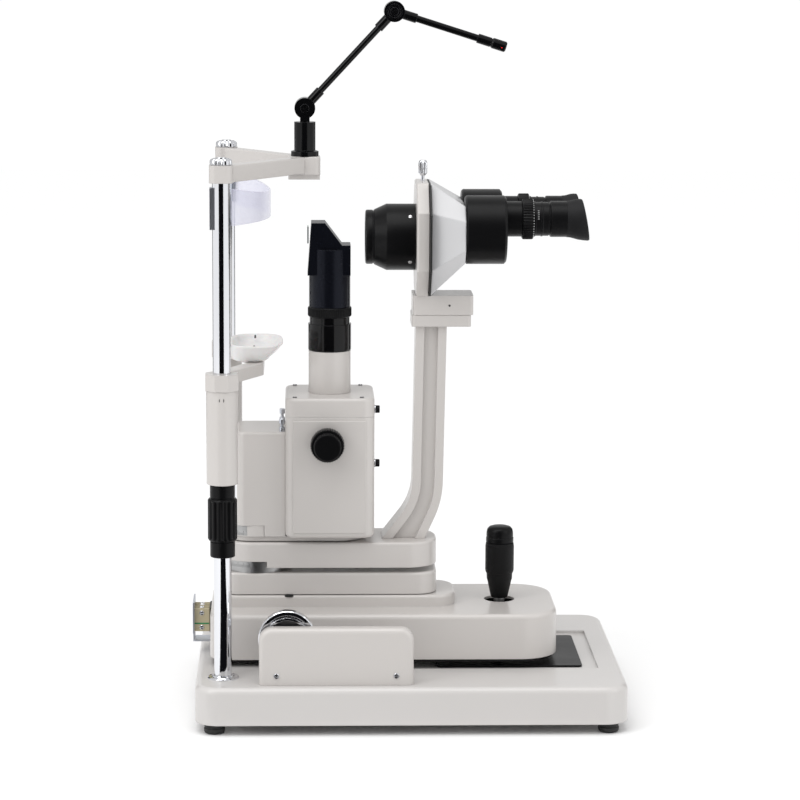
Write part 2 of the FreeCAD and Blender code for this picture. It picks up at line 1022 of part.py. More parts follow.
# ---------------------------------------------------------------------------------------------
# Chin rest: two sleeves that slide on the posts, a bowed bar and a cup, raised by one nut
# ---------------------------------------------------------------------------------------------

slide_bore = "post_radius + running_gap"
nut_profile = [
    (slide_bore, "nut_bottom"),
    ("nut_radius", "nut_bottom"),
    ("nut_radius", "nut_low_end"),
    ("nut_grip_radius", "nut_low_end + nut_edge"),
    ("nut_grip_radius", "nut_grip_end - nut_edge"),
    ("nut_radius", "nut_grip_end"),
    ("nut_radius", "nut_top"),
    (slide_bore, "nut_top"),
]
node(place(turned("nut", nut_profile), "post_x", "-post_y"), "chin_height_nut")

sleeve = tube("sleeve", slide_bore, "chin_sleeve_radius", "chin_sleeve_top - chin_sleeve_bottom")
round_off(sleeve, level(2, "0"), "1")
place(sleeve, "post_x", "-post_y", "chin_sleeve_bottom")
node(pair("sleeves", sleeve), "chin_sleeves")

collar = new_body("collar")
half = "collar_across / 2"
flat = "collar_across * octagon_share"
collar_points = [
    (half, flat),
    (flat, half),
    ("-" + flat, half),
    ("-" + half, flat),
    ("-" + half, "-" + flat),
    ("-" + flat, "-" + half),
    (flat, "-" + half),
    (half, "-" + flat),
]
pad(collar, outline(collar, "XY_Plane", collar_points), "collar_height")
pocket(collar, circles(collar, "XY_Plane", [("0", "0", slide_bore)]), "collar_height", back=True)
place(collar, "post_x", "-post_y", "chin_sleeve_top")
bar_top = "cup_bottom - cup_rise"
bar_points = [
    ("post_x + bar_width / 2", "-post_y + collar_across / 2 - bar_lap"),
    ("bar_middle_x + bar_width / 2", "-bar_bow_half"),
    ("bar_middle_x + bar_width / 2", "bar_bow_half"),
    ("post_x + bar_width / 2", "post_y - collar_across / 2 + bar_lap"),
    ("post_x - bar_width / 2", "post_y - collar_across / 2 + bar_lap"),
    ("bar_middle_x - bar_width / 2", "bar_bow_half"),
    ("bar_middle_x - bar_width / 2", "-bar_bow_half"),
    ("post_x - bar_width / 2", "-post_y + collar_across / 2 - bar_lap"),
]
bar = slab("bar", bar_points, bar_top + " - bar_height", "bar_height")
round_off(bar, both_tests(parallel(2), within(1, "bar_bow_half + 1")), "bar_width")
round_off(bar, level(2, bar_top), "2")
node(joined("chin_bar", [bar, collar, mirrored(collar, "collar_twin")]), "chin_bar")

cup = slab(
    "cup",
    rectangle("cup_front_x", "cup_back_x", "-cup_half", "cup_half"),
    "cup_bottom",
    "cup_height",
    "cup_corner",
)
round_off(cup, level(2, "cup_bottom"), "cup_belly")
cup_hollow = rectangle(
    "cup_front_x + cup_wall",
    "cup_back_x - cup_wall",
    "-cup_half + cup_wall",
    "cup_half - cup_wall",
    "(cup_corner - cup_wall)",
    "(cup_corner - cup_wall)",
)
pocket(cup, outline(cup, "XY_Plane", cup_hollow, "cup_bottom + cup_height"), "cup_height - cup_wall")
cup_post = cylinder(
    "cup_post", "cup_post_radius", "cup_bottom - (%s)" % bar_top, "bar_middle_x", "0", bar_top
)
node(joined("chin_cup", [cup, cup_post]), "chin_cup")

# ---------------------------------------------------------------------------------------------
# Fixation lamp: a socket on the bow and a jointed arm of two rods
# ---------------------------------------------------------------------------------------------

socket_top = "fix_flange_height + fix_socket_height"
socket_profile = [
    ("fix_neck_radius + running_gap", "0"),
    ("fix_flange_radius", "0"),
    ("fix_flange_radius", "fix_flange_height"),
    ("fix_socket_radius", "fix_flange_height + 1"),
    ("fix_socket_radius", socket_top),
    ("fix_neck_radius + running_gap", socket_top),
]
node(place(turned("socket", socket_profile), "fix_x", "0", "post_top"), "fixation_socket")

elbow_z = "post_top + %s + elbow_rise" % socket_top
rods_apart = "elbow_thickness + slide_gap"


def elbow_disc(name, x, y, z):
    """One disc of an elbow, lying square to Y; y is its near face."""
    return cylinder(name, "elbow_radius", "elbow_thickness", x, y, z, ALONG_Y)


def rod_between(name, start, end, y):
    """A thin rod with a thicker sleeve at each end, between two elbow centres at one depth."""
    run = Vector(number(end[0]) - number(start[0]), 0, number(end[1]) - number(start[1]))
    reach = run.Length - 2 * number("elbow_radius") + 2
    sleeve_run = number("rod_sleeve_length")
    rod = Part.makeCylinder(number("rod_radius"), reach)
    for height in (0, reach - sleeve_run):
        rod = rod.fuse(Part.makeCylinder(number("rod_sleeve_radius"), sleeve_run, Vector(0, 0, height)))
    feature = doc.addObject("Part::Feature", name)
    feature.Shape = rod.removeSplitter()
    direction = Vector(run).normalize()
    foot = Vector(number(start[0]), number(y), number(start[1])) + direction * (number("elbow_radius") - 1)
    feature.Placement = Placement(foot, Rotation(Vector(0, 0, 1), direction))
    return feature


lower_elbow = ("fix_x", elbow_z)
upper_elbow = ("upper_elbow_x", "upper_elbow_z")
tip_end = ("tip_x", "tip_z")
stem_y = "-elbow_thickness"
arm_y = "slide_gap"
stem = joined(
    "stem",
    [
        cylinder(
            "stem_shank",
            "fix_neck_radius",
            elbow_z + " - post_top - elbow_radius - socket_lip",
            "fix_x",
            "0",
            "post_top",
        ),
        elbow_disc("stem_disc", "fix_x", stem_y, elbow_z),
        cuboid(
            "stem_cheek",
            ("fix_x - fix_neck_radius", "fix_x + fix_neck_radius"),
            ("-elbow_thickness", "0"),
            (elbow_z + " - elbow_radius - stem_neck_lap", elbow_z),
        ),
        cylinder(
            "stem_pin", "pivot_radius", "elbow_thickness + 2 * slide_gap", "fix_x", "-1", elbow_z, ALONG_Y
        ),
    ],
)
node(stem, "fixation_stem")

lower_arm = joined(
    "lower_arm",
    [
        elbow_disc("lower_arm_disc", "fix_x", arm_y, elbow_z),
        elbow_disc("lower_arm_top", "upper_elbow_x", arm_y, "upper_elbow_z"),
        rod_between("lower_rod", lower_elbow, upper_elbow, "slide_gap + elbow_thickness / 2"),
    ],
)
lower_bore = cylinder(
    "lower_bore",
    "pivot_radius + running_gap",
    "elbow_thickness + bore_overrun",
    "fix_x",
    "-bore_overrun / 2",
    elbow_z,
    ALONG_Y,
)
upper_bore = cylinder(
    "upper_bore",
    "pivot_radius + running_gap",
    "elbow_thickness + 1",
    "upper_elbow_x",
    "-bore_overrun / 2",
    "upper_elbow_z",
    ALONG_Y,
)
node(
    minus("lower_arm_bored", lower_arm, joined("arm_bores", [lower_bore, upper_bore])), "fixation_lower_arm"
)

upper_arm = joined(
    "upper_arm",
    [
        elbow_disc("upper_arm_disc", "upper_elbow_x", stem_y, "upper_elbow_z"),
        cylinder(
            "upper_pin",
            "pivot_radius",
            "elbow_thickness + 2 * slide_gap",
            "upper_elbow_x",
            "-1",
            "upper_elbow_z",
            ALONG_Y,
        ),
        rod_between("upper_rod", upper_elbow, tip_end, "-elbow_thickness / 2"),
    ],
)
tip_profile = [
    ("0", "0"),
    ("rod_radius + tip_step", "0"),
    ("tip_radius", "2"),
    ("tip_radius", "tip_length - 1"),
    ("tip_radius - 1", "tip_length"),
    ("0", "tip_length"),
]
tip = turned("tip", tip_profile)
tip_direction = Vector(number("tip_x - upper_elbow_x"), 0, number("tip_z - upper_elbow_z")).normalize()
tip_foot = Vector(number("tip_x"), -number("elbow_thickness") / 2, number("tip_z"))
tip_foot -= tip_direction * (number("elbow_radius") - 1)
tip.Placement = Placement(tip_foot, Rotation(Vector(0, 0, 1), tip_direction))
node(joined("upper_arm_tip", [upper_arm, tip]), "fixation_upper_arm")

# ---------------------------------------------------------------------------------------------
# Running gear: an axle that rolls on the rails, inside a sleeve that carries the carriage
# ---------------------------------------------------------------------------------------------

sleeve_bore = "axle_radius + running_gap"
axle_sleeve = tube("axle_sleeve", sleeve_bore, "sleeve_radius", "2 * sleeve_half")
node(place(axle_sleeve, "axle_x", "-sleeve_half", axle_z, ALONG_Y), "axle_sleeve")

axle_half = "wheel_offset + wheel_width / 2"
axle = cylinder(
    "axle", "axle_radius", "2 * (%s)" % axle_half, "axle_x", "-(%s)" % axle_half, axle_z, ALONG_Y
)
node(axle, "cross_axle")

wheel_profile = [
    ("axle_radius", "0"),
    ("wheel_radius - slide_gap", "0"),
    ("wheel_radius - slide_gap", "wheel_width - 1"),
    ("wheel_radius - tread_bevel", "wheel_width"),
    ("wheel_radius - tread_width", "wheel_width"),
    ("wheel_radius - tread_width - groove_slope", "wheel_width - groove_depth"),
    ("wheel_radius - tread_width - 2 * groove_slope", "wheel_width"),
    ("wheel_radius - web_start", "wheel_width"),
    ("wheel_radius - web_start", "wheel_width - web_sink"),
    ("axle_radius", "wheel_width - 1"),
]
wheel = turned("wheel", wheel_profile)
place(wheel, "axle_x", "-wheel_offset + wheel_width / 2", axle_z, Rotation(Vector(1, 0, 0), QUARTER_TURN))
node(pair("wheels", wheel), "track_wheels")

# ---------------------------------------------------------------------------------------------
# Carriage: a shell over a deck plate, with the axle bushes, the lift guide and the joystick
# ---------------------------------------------------------------------------------------------

shell = slab(
    "shell",
    rectangle("shell_start", "shell_end", "-shell_half", "shell_half"),
    "shell_bottom",
    "shell_top - shell_bottom",
)
round_off(shell, both_tests(parallel(2), level(0, "shell_end")), "shell_corner")
round_off(shell, both_tests(parallel(2), level(0, "shell_start")), "shell_corner / 2")
round_off(shell, level(2, "shell_top"), "shell_edge")
stage = outline(
    shell, "XY_Plane", rectangle("stage_start", "stage_end", "-stage_half", "stage_half"), "shell_top - 1"
)
pad(shell, stage, "stage_top - shell_top + 1")
round_off(shell, both_tests(parallel(2), level(0, "stage_end")), "stage_corner")
round_off(shell, both_tests(parallel(2), level(0, "stage_start")), "stage_corner / 2")
round_off(shell, level(2, "stage_top"), "stage_edge")
shell_hollow = rectangle(
    "shell_start + shell_wall",
    "shell_end - shell_wall",
    "-shell_half + shell_wall",
    "shell_half - shell_wall",
    "(shell_corner / 2 - shell_wall)",
    "(shell_corner - shell_wall)",
)
pocket(
    shell,
    outline(shell, "XY_Plane", shell_hollow, "shell_bottom"),
    "shell_top - shell_wall - shell_bottom",
    back=True,
)
top_holes = [("swing_x", "0", "guide_radius + slide_gap"), ("stick_x", "0", "stick_hole_radius")]
pocket(shell, circles(shell, "XY_Plane", top_holes, "shell_bottom"), "stage_top - shell_bottom", back=True)
side_hole = [("axle_x", axle_z, "sleeve_radius + slide_gap")]
pocket(shell, circles(shell, "XZ_Plane", side_hole), "2 * shell_half + 1", both=True)
node(shell, "carriage_cover")

deck_bottom = "shell_bottom - deck_plate + 1"
deck = slab(
    "deck",
    rectangle(
        "shell_start + shell_wall + deck_inset",
        "shell_end - shell_wall - deck_inset",
        "-shell_half + shell_wall + deck_inset",
        "shell_half - shell_wall - deck_inset",
    ),
    deck_bottom,
    "deck_plate",
)
round_off(
    deck,
    both_tests(parallel(2), level(0, "shell_end - shell_wall - deck_inset")),
    "shell_corner - shell_wall",
)
deck_far = "shell_start + shell_wall + deck_inset"
round_off(deck, both_tests(parallel(2), level(0, deck_far)), "shell_corner / 2 - shell_wall")
deck_holes = [("stick_x", "0", "stick_hole_radius")]
pocket(deck, circles(deck, "XY_Plane", deck_holes, deck_bottom), "deck_plate", back=True)
deck_top = deck_bottom + " + deck_plate"
pin_bore = "gimbal_pin_radius + running_gap"
mount_ring = new_body("mount_ring")
ring_height = "shell_top - shell_wall - slide_gap - (%s)" % deck_top
ring_circles = [("stick_x", "0", "collar_outer"), ("stick_x", "0", "gimbal_outer + clear_gap")]
pad(mount_ring, circles(mount_ring, "XY_Plane", ring_circles, deck_top), ring_height)
pocket(
    mount_ring, circles(mount_ring, "YZ_Plane", [("0", "pivot_z", pin_bore)]), "2 * base_length", both=True
)
node(joined("deck_with_collar", [deck, mount_ring]), "carriage_deck")

bush = new_body("bush")
bush_plan = rectangle(
    "axle_x - bush_width / 2",
    "axle_x + bush_width / 2",
    "-bush_offset - bush_length / 2",
    "-bush_offset + bush_length / 2",
)
pad(
    bush,
    outline(bush, "XY_Plane", bush_plan, deck_top),
    "shell_top - shell_wall - slide_gap - (%s)" % deck_top,
)
bush_hole = [("axle_x", axle_z, "sleeve_radius + running_gap")]
pocket(bush, circles(bush, "XZ_Plane", bush_hole), "2 * shell_half", both=True)
node(pair("bushes", bush), "axle_bushes")

guide_base = deck_top + " + screw_wheel_height + 2 * clear_gap"
guide_profile = [
    ("screw_radius + clear_gap", guide_base),
    ("guide_radius", guide_base),
    ("guide_radius", "stage_top"),
    ("column_radius + running_gap", "stage_top"),
    ("column_radius + running_gap", guide_base + " + 2"),
    ("screw_radius + clear_gap", guide_base + " + 2"),
]
guide = place(turned("guide", guide_profile), "swing_x", "0")
feet_of_guide = []
for side in ("-", "+"):
    y = "%s(screw_wheel_radius + guide_clearance)" % side
    low = y + " - guide_half"
    high = y + " + guide_half"
    feet_of_guide.append(
        cuboid(
            "guide_foot",
            ("swing_x - 2 * guide_half", "swing_x + 2 * guide_half"),
            (low, high),
            (deck_top, guide_base + " + 1"),
        )
    )
node(joined("lift_guide", [guide] + feet_of_guide), "lift_guide")

screw_profile = [
    ("0", deck_top + " + clear_gap"),
    ("screw_wheel_radius", deck_top + " + clear_gap"),
    ("screw_wheel_radius", deck_top + " + clear_gap + screw_wheel_height"),
    ("screw_radius", deck_top + " + clear_gap + screw_wheel_height"),
    ("screw_radius", "stage_top"),
    ("0", "stage_top"),
]
node(place(turned("screw", screw_profile), "swing_x", "0"), "lift_screw")

wire_half = number("spring_wire")
coil_radius = number("spring_radius")
spring_foot = number(guide_base + " + 2 + spring_wire + spring_gap")
spring_rise = number("column_bottom - spring_gap - spring_wire") - spring_foot
spring_path = Part.makeHelix(spring_rise / number("spring_turns"), spring_rise, coil_radius)
wire_corners = [
    Vector(coil_radius - wire_half, 0, -wire_half),
    Vector(coil_radius + wire_half, 0, -wire_half),
    Vector(coil_radius + wire_half, 0, wire_half),
    Vector(coil_radius - wire_half, 0, wire_half),
]
spring_start = Part.makePolygon(wire_corners + wire_corners[:1])
spring = doc.addObject("Part::Feature", "spring")
spring.Shape = Part.Wire(spring_path).makePipeShell([spring_start], True, True)
spring.Placement = Placement(Vector(number("swing_x"), 0, spring_foot), Rotation())
node(spring, "lift_spring")

bracket = joined(
    "bracket",
    [
        cuboid(
            "bracket_face",
            ("bracket_x", "bracket_x + bracket_sheet"),
            ("-bracket_half", "bracket_half"),
            ("bracket_bottom + board_rise", "bracket_top"),
        ),
        cuboid(
            "bracket_foot",
            ("bracket_x", "shell_start"),
            ("-bracket_half / 2", "bracket_half / 2"),
            ("bracket_bottom", "bracket_bottom + bracket_sheet"),
        ),
        cuboid(
            "bracket_web",
            ("bracket_x", "bracket_x + bracket_sheet"),
            ("-bracket_half / 2", "bracket_half / 2"),
            ("bracket_bottom", "bracket_top"),
        ),
    ],
)
node(bracket, "terminal_bracket")
board = cuboid(
    "board",
    ("bracket_x + bracket_sheet", "shell_start"),
    ("-board_half", "board_half"),
    ("board_bottom", "board_bottom + board_height"),
)
node(board, "terminal_block")

# ---------------------------------------------------------------------------------------------
# Joystick: a gimbal ring in a collar, a tilting sleeve in the ring, and the stick that turns in it
# ---------------------------------------------------------------------------------------------

gimbal_low = "pivot_z - gimbal_height / 2"
gimbal = new_body("gimbal")
gimbal_circles = [("stick_x", "0", "gimbal_outer"), ("stick_x", "0", "gimbal_inner")]
pad(gimbal, circles(gimbal, "XY_Plane", gimbal_circles, gimbal_low), "gimbal_height")
pocket(gimbal, circles(gimbal, "XZ_Plane", [("stick_x", "pivot_z", pin_bore)]), "base_width", both=True)
pin_length = "collar_outer - gimbal_inner - 1"
ring_pins = [
    cylinder(
        "ring_pin",
        "gimbal_pin_radius",
        pin_length,
        "stick_x + gimbal_inner + pin_lap",
        "0",
        "pivot_z",
        ALONG_X,
    ),
    cylinder(
        "ring_pin",
        "gimbal_pin_radius",
        pin_length,
        "stick_x - collar_outer + pin_lap",
        "0",
        "pivot_z",
        ALONG_X,
    ),
]
node(joined("gimbal_ring", [gimbal] + ring_pins), "gimbal_ring")

sleeve_low = "pivot_z - tilt_sleeve_length / 2"
tilt_tube = place(
    tube(
        "tilt_tube", "stem_radius + running_gap", "tilt_sleeve_radius", "tilt_sleeve_length"
    ), "stick_x", "0", sleeve_low
)
tilt_length = "gimbal_outer - tilt_sleeve_radius"
tilt_pins = [
    cylinder(
        "tilt_pin",
        "gimbal_pin_radius",
        tilt_length,
        "stick_x",
        "tilt_sleeve_radius - pin_lap",
        "pivot_z",
        ALONG_Y,
    ),
    cylinder(
        "tilt_pin", "gimbal_pin_radius", tilt_length, "stick_x", "-gimbal_outer + pin_lap", "pivot_z", ALONG_Y
    ),
]
node(joined("tilt_sleeve", [tilt_tube] + tilt_pins), "joystick_sleeve")

glide_top = base_top + " - recess_depth + 2"
stick_low = glide_top + " + clear_gap"
stick_shaft = cylinder(
    "stick_shaft",
    "stem_radius",
    "grip_bottom + stem_in_grip - (%s + stem_ball_radius)" % stick_low,
    "stick_x",
    "0",
    stick_low + " + stem_ball_radius",
)
ball = doc.addObject("Part::Sphere", "stick_ball")
bind(ball, Radius="stem_ball_radius")
place(ball, "stick_x", "0", stick_low + " + stem_ball_radius")
node(joined("stick", [stick_shaft, ball]), "joystick_shaft")

grip_profile = [
    ("stem_radius", "grip_bottom"),
    ("grip_neck_radius", "grip_bottom"),
    ("grip_neck_radius", "grip_bottom + 2"),
    ("grip_radius", "grip_bottom + grip_taper"),
    ("grip_radius", "grip_shoulder"),
    ("grip_cap_radius", "grip_shoulder + 1"),
    ("grip_cap_radius", "grip_top - cap_shoulder"),
    ("grip_cap_radius - cap_round", "grip_top - cap_shoulder / 2"),
    ("grip_cap_radius - cap_flat", "grip_top"),
    ("0", "grip_top"),
    ("0", "grip_bottom + stem_in_grip"),
    ("stem_radius", "grip_bottom + stem_in_grip"),
]
node(place(turned("grip", grip_profile), "stick_x", "0"), "joystick_grip")

# ---------------------------------------------------------------------------------------------
# Lift: a block and the swing post that both arms turn on
# ---------------------------------------------------------------------------------------------

lift_plan = rectangle("lift_start", "lift_end", "-lift_half", "lift_half")
lift = slab("lift", lift_plan, "lift_bottom", "lift_top - lift_bottom", "lift_corner", "plan_edge")
post_hole = [("swing_x", "0", "column_radius")]
pocket(lift, circles(lift, "XY_Plane", post_hole, "lift_bottom"), "lift_top - lift_bottom", back=True)
node(lift, "lift_block")

swing_profile = [
    ("screw_radius + running_gap", "column_bottom"),
    ("column_radius", "column_bottom"),
    ("column_radius", "lift_top"),
    ("scale_radius", "lift_top"),
    ("scale_radius", "lift_top + scale_height"),
    ("swing_radius", "lift_top + scale_height"),
    ("swing_radius", "swing_top"),
    ("screw_radius + running_gap", "swing_top"),
]
node(place(turned("swing_post", swing_profile), "swing_x", "0"), "swing_post")

# ---------------------------------------------------------------------------------------------
# Microscope: a swing arm, a column, a platform and plate, the hood and the optics
# ---------------------------------------------------------------------------------------------

swing_bore = "swing_radius + running_gap"
arm = slab(
    "arm",
    rectangle("swing_x - arm_half", "arm_end", "-arm_half", "arm_half"),
    "arm_bottom",
    "arm_top - arm_bottom",
)
round_off(arm, both_tests(parallel(2), level(0, "arm_end")), "arm_corner")
round_off(arm, both_tests(parallel(2), level(0, "swing_x - arm_half")), "arm_half - 1")
round_off(arm, level(2, "arm_top"), "plan_edge")
arm_hole = circles(arm, "XY_Plane", [("swing_x", "0", swing_bore)], "arm_bottom")
pocket(arm, arm_hole, "arm_top - arm_bottom", back=True)
over_disc = "lift_top + scale_height + slide_gap - arm_bottom"
disc_room = circles(arm, "XY_Plane", [("swing_x", "0", "scale_radius + clear_gap")], "arm_bottom")
pocket(arm, disc_room, over_disc, back=True)
arm_step = rectangle("swing_x - arm_half - 1", "swing_x + arm_step_x", "-arm_half - 1", "arm_half + 1")
pocket(arm, outline(arm, "XY_Plane", arm_step, "arm_bottom"), over_disc, back=True)
node(arm, "microscope_arm")

column = new_body("column")
knee_back = "column_back - column_lean"
knee_front = "column_front - column_lean"
column_points = [
    ("column_foot_back", "arm_top"),
    ("column_foot_front", "arm_top"),
    (knee_front, "column_knee"),
    ("column_front", "column_top"),
    ("column_back", "column_top"),
    (knee_back, "column_knee"),
]
pad(column, outline(column, "XZ_Plane", column_points), "2 * column_half", both=True)
knees = both_tests(parallel(1), level(2, "column_knee"))
middle_of_knee = (number(knee_back) + number(knee_front)) / 2
round_off(column, both_tests(knees, lambda edge: edge.BoundBox.XMin < middle_of_knee), "column_knee_radius")
round_off(
    column, both_tests(knees, lambda edge: edge.BoundBox.XMin > middle_of_knee), "column_sweep_radius"
)
web_knee_back = "column_knee - column_rim / 3"
web_knee_front = "column_knee + column_rim / 5"
web_points = [
    ("column_foot_back + column_foot_rim", "arm_top - 1"),
    ("column_foot_front - column_foot_rim", "arm_top - 1"),
    (knee_front + " - column_rim", web_knee_front),
    ("column_front - column_rim", "column_top + 1"),
    ("column_back + column_rim", "column_top + 1"),
    (knee_back + " + column_rim", web_knee_back),
]
for side in (True, False):
    web = outline(column, "XZ_Plane", web_points, "column_half" if side else "-column_half")
    pocket(column, web, "column_recess", back=not side)
web_back = both_tests(parallel(1), level(2, web_knee_back))
round_off(column, web_back, "column_knee_radius + column_rim")
web_front = both_tests(parallel(1), level(2, web_knee_front))
round_off(column, web_front, "column_sweep_radius - column_rim")
node(column, "microscope_column")

platform_top = "column_top + platform_height"
platform_plan = rectangle("platform_start", "platform_end", "-platform_half", "platform_half")
platform = slab(
    "platform", platform_plan, "column_top", "platform_height", "platform_corner", "platform_edge"
)
node(platform, "microscope_platform")

block_bottom = platform_top
block_top = block_bottom + " + block_height"
block = slab(
    "block",
    rectangle("platform_start + 1", "block_end", "-platform_half", "platform_half"),
    block_bottom,
    "block_height",
    "platform_corner",
)
plate = new_body("plate")
plate_low = "plate_half - plate_chamfer"
plate_points = [
    ("-plate_half", block_top + " + plate_chamfer"),
    ("-(%s)" % plate_low, block_top),
    (plate_low, block_top),
    ("plate_half", block_top + " + plate_chamfer"),
    ("plate_half", "plate_top - plate_chamfer"),
    (plate_low, "plate_top"),
    ("-(%s)" % plate_low, "plate_top"),
    ("-plate_half", "plate_top - plate_chamfer"),
]
pad(plate, outline(plate, "YZ_Plane", plate_points, "plate_back"), "plate_thickness")
round_off(plate, level(0, "plate_back"), "2")
plate_front = "plate_back + plate_thickness"
spigot = cuboid(
    "spigot",
    (plate_front + " - 1", plate_front + " + hood_gap"),
    ("-(%s - hood_inset)" % plate_low, plate_low + " - hood_inset"),
    (block_top + " + hood_inset", "plate_top - hood_inset"),
)
node(joined("mount_plate_block", [block, plate, spigot]), "mount_plate")

hood_back = "plate_back + plate_thickness + hood_gap"
hood = new_body("hood")
hood_rear = [
    ("-plate_half", block_top + " + plate_chamfer"),
    ("-(%s)" % plate_low, block_top),
    (plate_low, block_top),
    ("plate_half", block_top + " + plate_chamfer"),
    ("plate_half", "plate_top - plate_chamfer"),
    (plate_low, "plate_top"),
    ("-(%s)" % plate_low, "plate_top"),
    ("-plate_half", "plate_top - plate_chamfer"),
]
hood_chamfer = "(plate_chamfer / 2)"
hood_face = [
    ("-hood_half", "hood_low + " + hood_chamfer),
    ("-hood_half + " + hood_chamfer, "hood_low"),
    ("hood_half - " + hood_chamfer, "hood_low"),
    ("hood_half", "hood_low + " + hood_chamfer),
    ("hood_half", "hood_high - " + hood_chamfer),
    ("hood_half - " + hood_chamfer, "hood_high"),
    ("-hood_half + " + hood_chamfer, "hood_high"),
    ("-hood_half", "hood_high - " + hood_chamfer),
]
loft = hood.newObject("PartDesign::AdditiveLoft", "hood_loft")
loft.Profile = outline(hood, "YZ_Plane", hood_rear, hood_back)
loft.Sections = [outline(hood, "YZ_Plane", hood_face, "hood_front")]
loft.Ruled = True
doc.recompute()
node(hood, "microscope_hood")

objective_profile = [
    ("objective_bore", "objective_front"),
    ("objective_flange_radius", "objective_front"),
    ("objective_flange_radius", "objective_front + objective_flange"),
    ("objective_flange_radius - 1", "objective_front + objective_flange"),
    ("objective_radius", "objective_cone_end"),
    ("objective_radius", "plate_back"),
    ("objective_bore", "plate_back"),
]
objective = place(turned("objective", objective_profile), "0", "0", "plate_axis_z", ALONG_X)
node(objective, "objective_housing")

lens_front = "objective_front + lens_sink"
lens = turned(
    "lens",
    [
        ("0", lens_front),
        ("objective_bore / 2", lens_front + " + lens_bulge"),
        ("objective_bore", lens_front + " + lens_edge"),
        ("objective_bore", lens_front + " + lens_thickness"),
        ("0", lens_front + " + lens_thickness"),
    ],
)
node(place(lens, "0", "0", "plate_axis_z", ALONG_X), "objective_lens")

thumb_profile = [
    ("0", "0"),
    ("thumb_stem", "0"),
    ("thumb_stem", "thumb_neck"),
    ("thumb_radius", "thumb_neck + thumb_bevel"),
    ("thumb_radius", "thumb_neck + thumb_height - thumb_bevel"),
    ("thumb_radius - thumb_bevel", "thumb_neck + thumb_height"),
    ("0", "thumb_neck + thumb_height"),
]
node(place(turned("thumb", thumb_profile), "thumb_x", "0", "plate_top"), "plate_thumb_screw")

drum_start = "hood_front + slide_gap"
drum_profile = [
    ("0", drum_start),
    ("drum_radius - drum_edge", drum_start),
    ("drum_radius", drum_start + " + drum_edge"),
    ("drum_radius", "drum_end - 2"),
    ("drum_radius - 2", "drum_end"),
    ("0", "drum_end"),
]
drum_near = place(turned("drum", drum_profile), "0", "-drum_y", "drum_z", ALONG_X)
eyepiece_tube = turned("eyepiece_tube", rectangle("eye_bore", "tube_radius", "drum_end", "tube_end"))
place(eyepiece_tube, "0", "-eye_y", "eye_z", ALONG_X)
prism_near = joined("prism_housing", [drum_near, eyepiece_tube])
node(prism_near, "prism_housing_left")
node(mirrored(prism_near, "prism_housing_far"), "prism_housing_right")

eyepiece_start = "tube_end + slide_gap"
eyepiece_profile = [
    ("eye_bore", eyepiece_start),
    ("diopter_radius", eyepiece_start),
    ("diopter_radius", "diopter_end"),
    ("barrel_radius - barrel_step", "diopter_end + barrel_step / 2"),
    ("barrel_radius - barrel_step", "diopter_end + barrel_neck"),
    ("barrel_radius", "diopter_end + barrel_neck + barrel_step"),
    ("barrel_radius", "barrel_end"),
    ("barrel_radius + eyecup_foot", "barrel_end + barrel_step"),
    ("barrel_radius + eyecup_rim", "eyecup_end - eyecup_lip"),
    ("eye_bore + eyecup_throat", "eyecup_end - eyecup_lip"),
    ("eye_bore + eyecup_throat", "barrel_end + eyecup_lip"),
    ("eye_bore", "barrel_end + 1"),
]
eyepiece_near = place(turned("eyepiece", eyepiece_profile), "0", "-eye_y", "eye_z", ALONG_X)
node(eyepiece_near, "eyepiece_left")
node(mirrored(eyepiece_near, "eyepiece_far"), "eyepiece_right")

# ---------------------------------------------------------------------------------------------
# Illumination: a swing arm, the lamp housing with its bulb, the slit and the tower
# ---------------------------------------------------------------------------------------------

lamp_arm = slab(
    "swing_plate",
    rectangle("swing_x - lamp_arm_half", "box_end - arm_end_gap", "-lamp_arm_half", "lamp_arm_half"),
    "lamp_arm_bottom",
    "lamp_arm_top - lamp_arm_bottom",
    "lamp_arm_half - 2",
)
hub_height = "bracket_foot - lamp_arm_top"
lamp_hub = minus(
    "lamp_hub",
    cylinder("hub_disc", "hub_radius", hub_height, "swing_x", "0", "lamp_arm_top"),
    cuboid(
        "hub_trim",
        ("swing_x + bracket_step", "swing_x + 2 * hub_radius"),
        ("-2 * hub_radius", "2 * hub_radius"),
        ("lamp_arm_top", "bracket_foot"),
    ),
)
hub_bore = cylinder("hub_bore", swing_bore, "arm_top", "swing_x", "0", "lamp_arm_bottom - 1")
lamp_swing = minus("lamp_swing", joined("lamp_arm_hub", [lamp_arm, lamp_hub]), hub_bore)
node(lamp_swing, "lamp_arm")

bracket_box = slab(
    "bracket_box",
    rectangle("bracket_start", "box_start", "-bracket_width", "bracket_width"),
    "bracket_foot",
    "bracket_lid - bracket_foot",
)
round_off(bracket_box, both_tests(parallel(2), level(0, "bracket_start")), "bracket_rounding")
lid_edge = both_tests(level(0, "bracket_start"), level(2, "bracket_lid"))
round_off(bracket_box, both_tests(parallel(1), lid_edge), "bracket_round")
bracket_skirt = cuboid(
    "bracket_skirt",
    ("swing_x + bracket_step + slide_gap", "box_start"),
    ("-bracket_width", "bracket_width"),
    ("lamp_arm_top + slide_gap", "bracket_foot + 1"),
)
skirt_bore = cylinder("skirt_bore", "swing_radius + clear_gap", hub_height, "swing_x", "0", "lamp_arm_top")
lamp_bracket = minus("lamp_bracket", joined("bracket_with_skirt", [bracket_box, bracket_skirt]), skirt_bore)
node(lamp_bracket, "lamp_bracket")

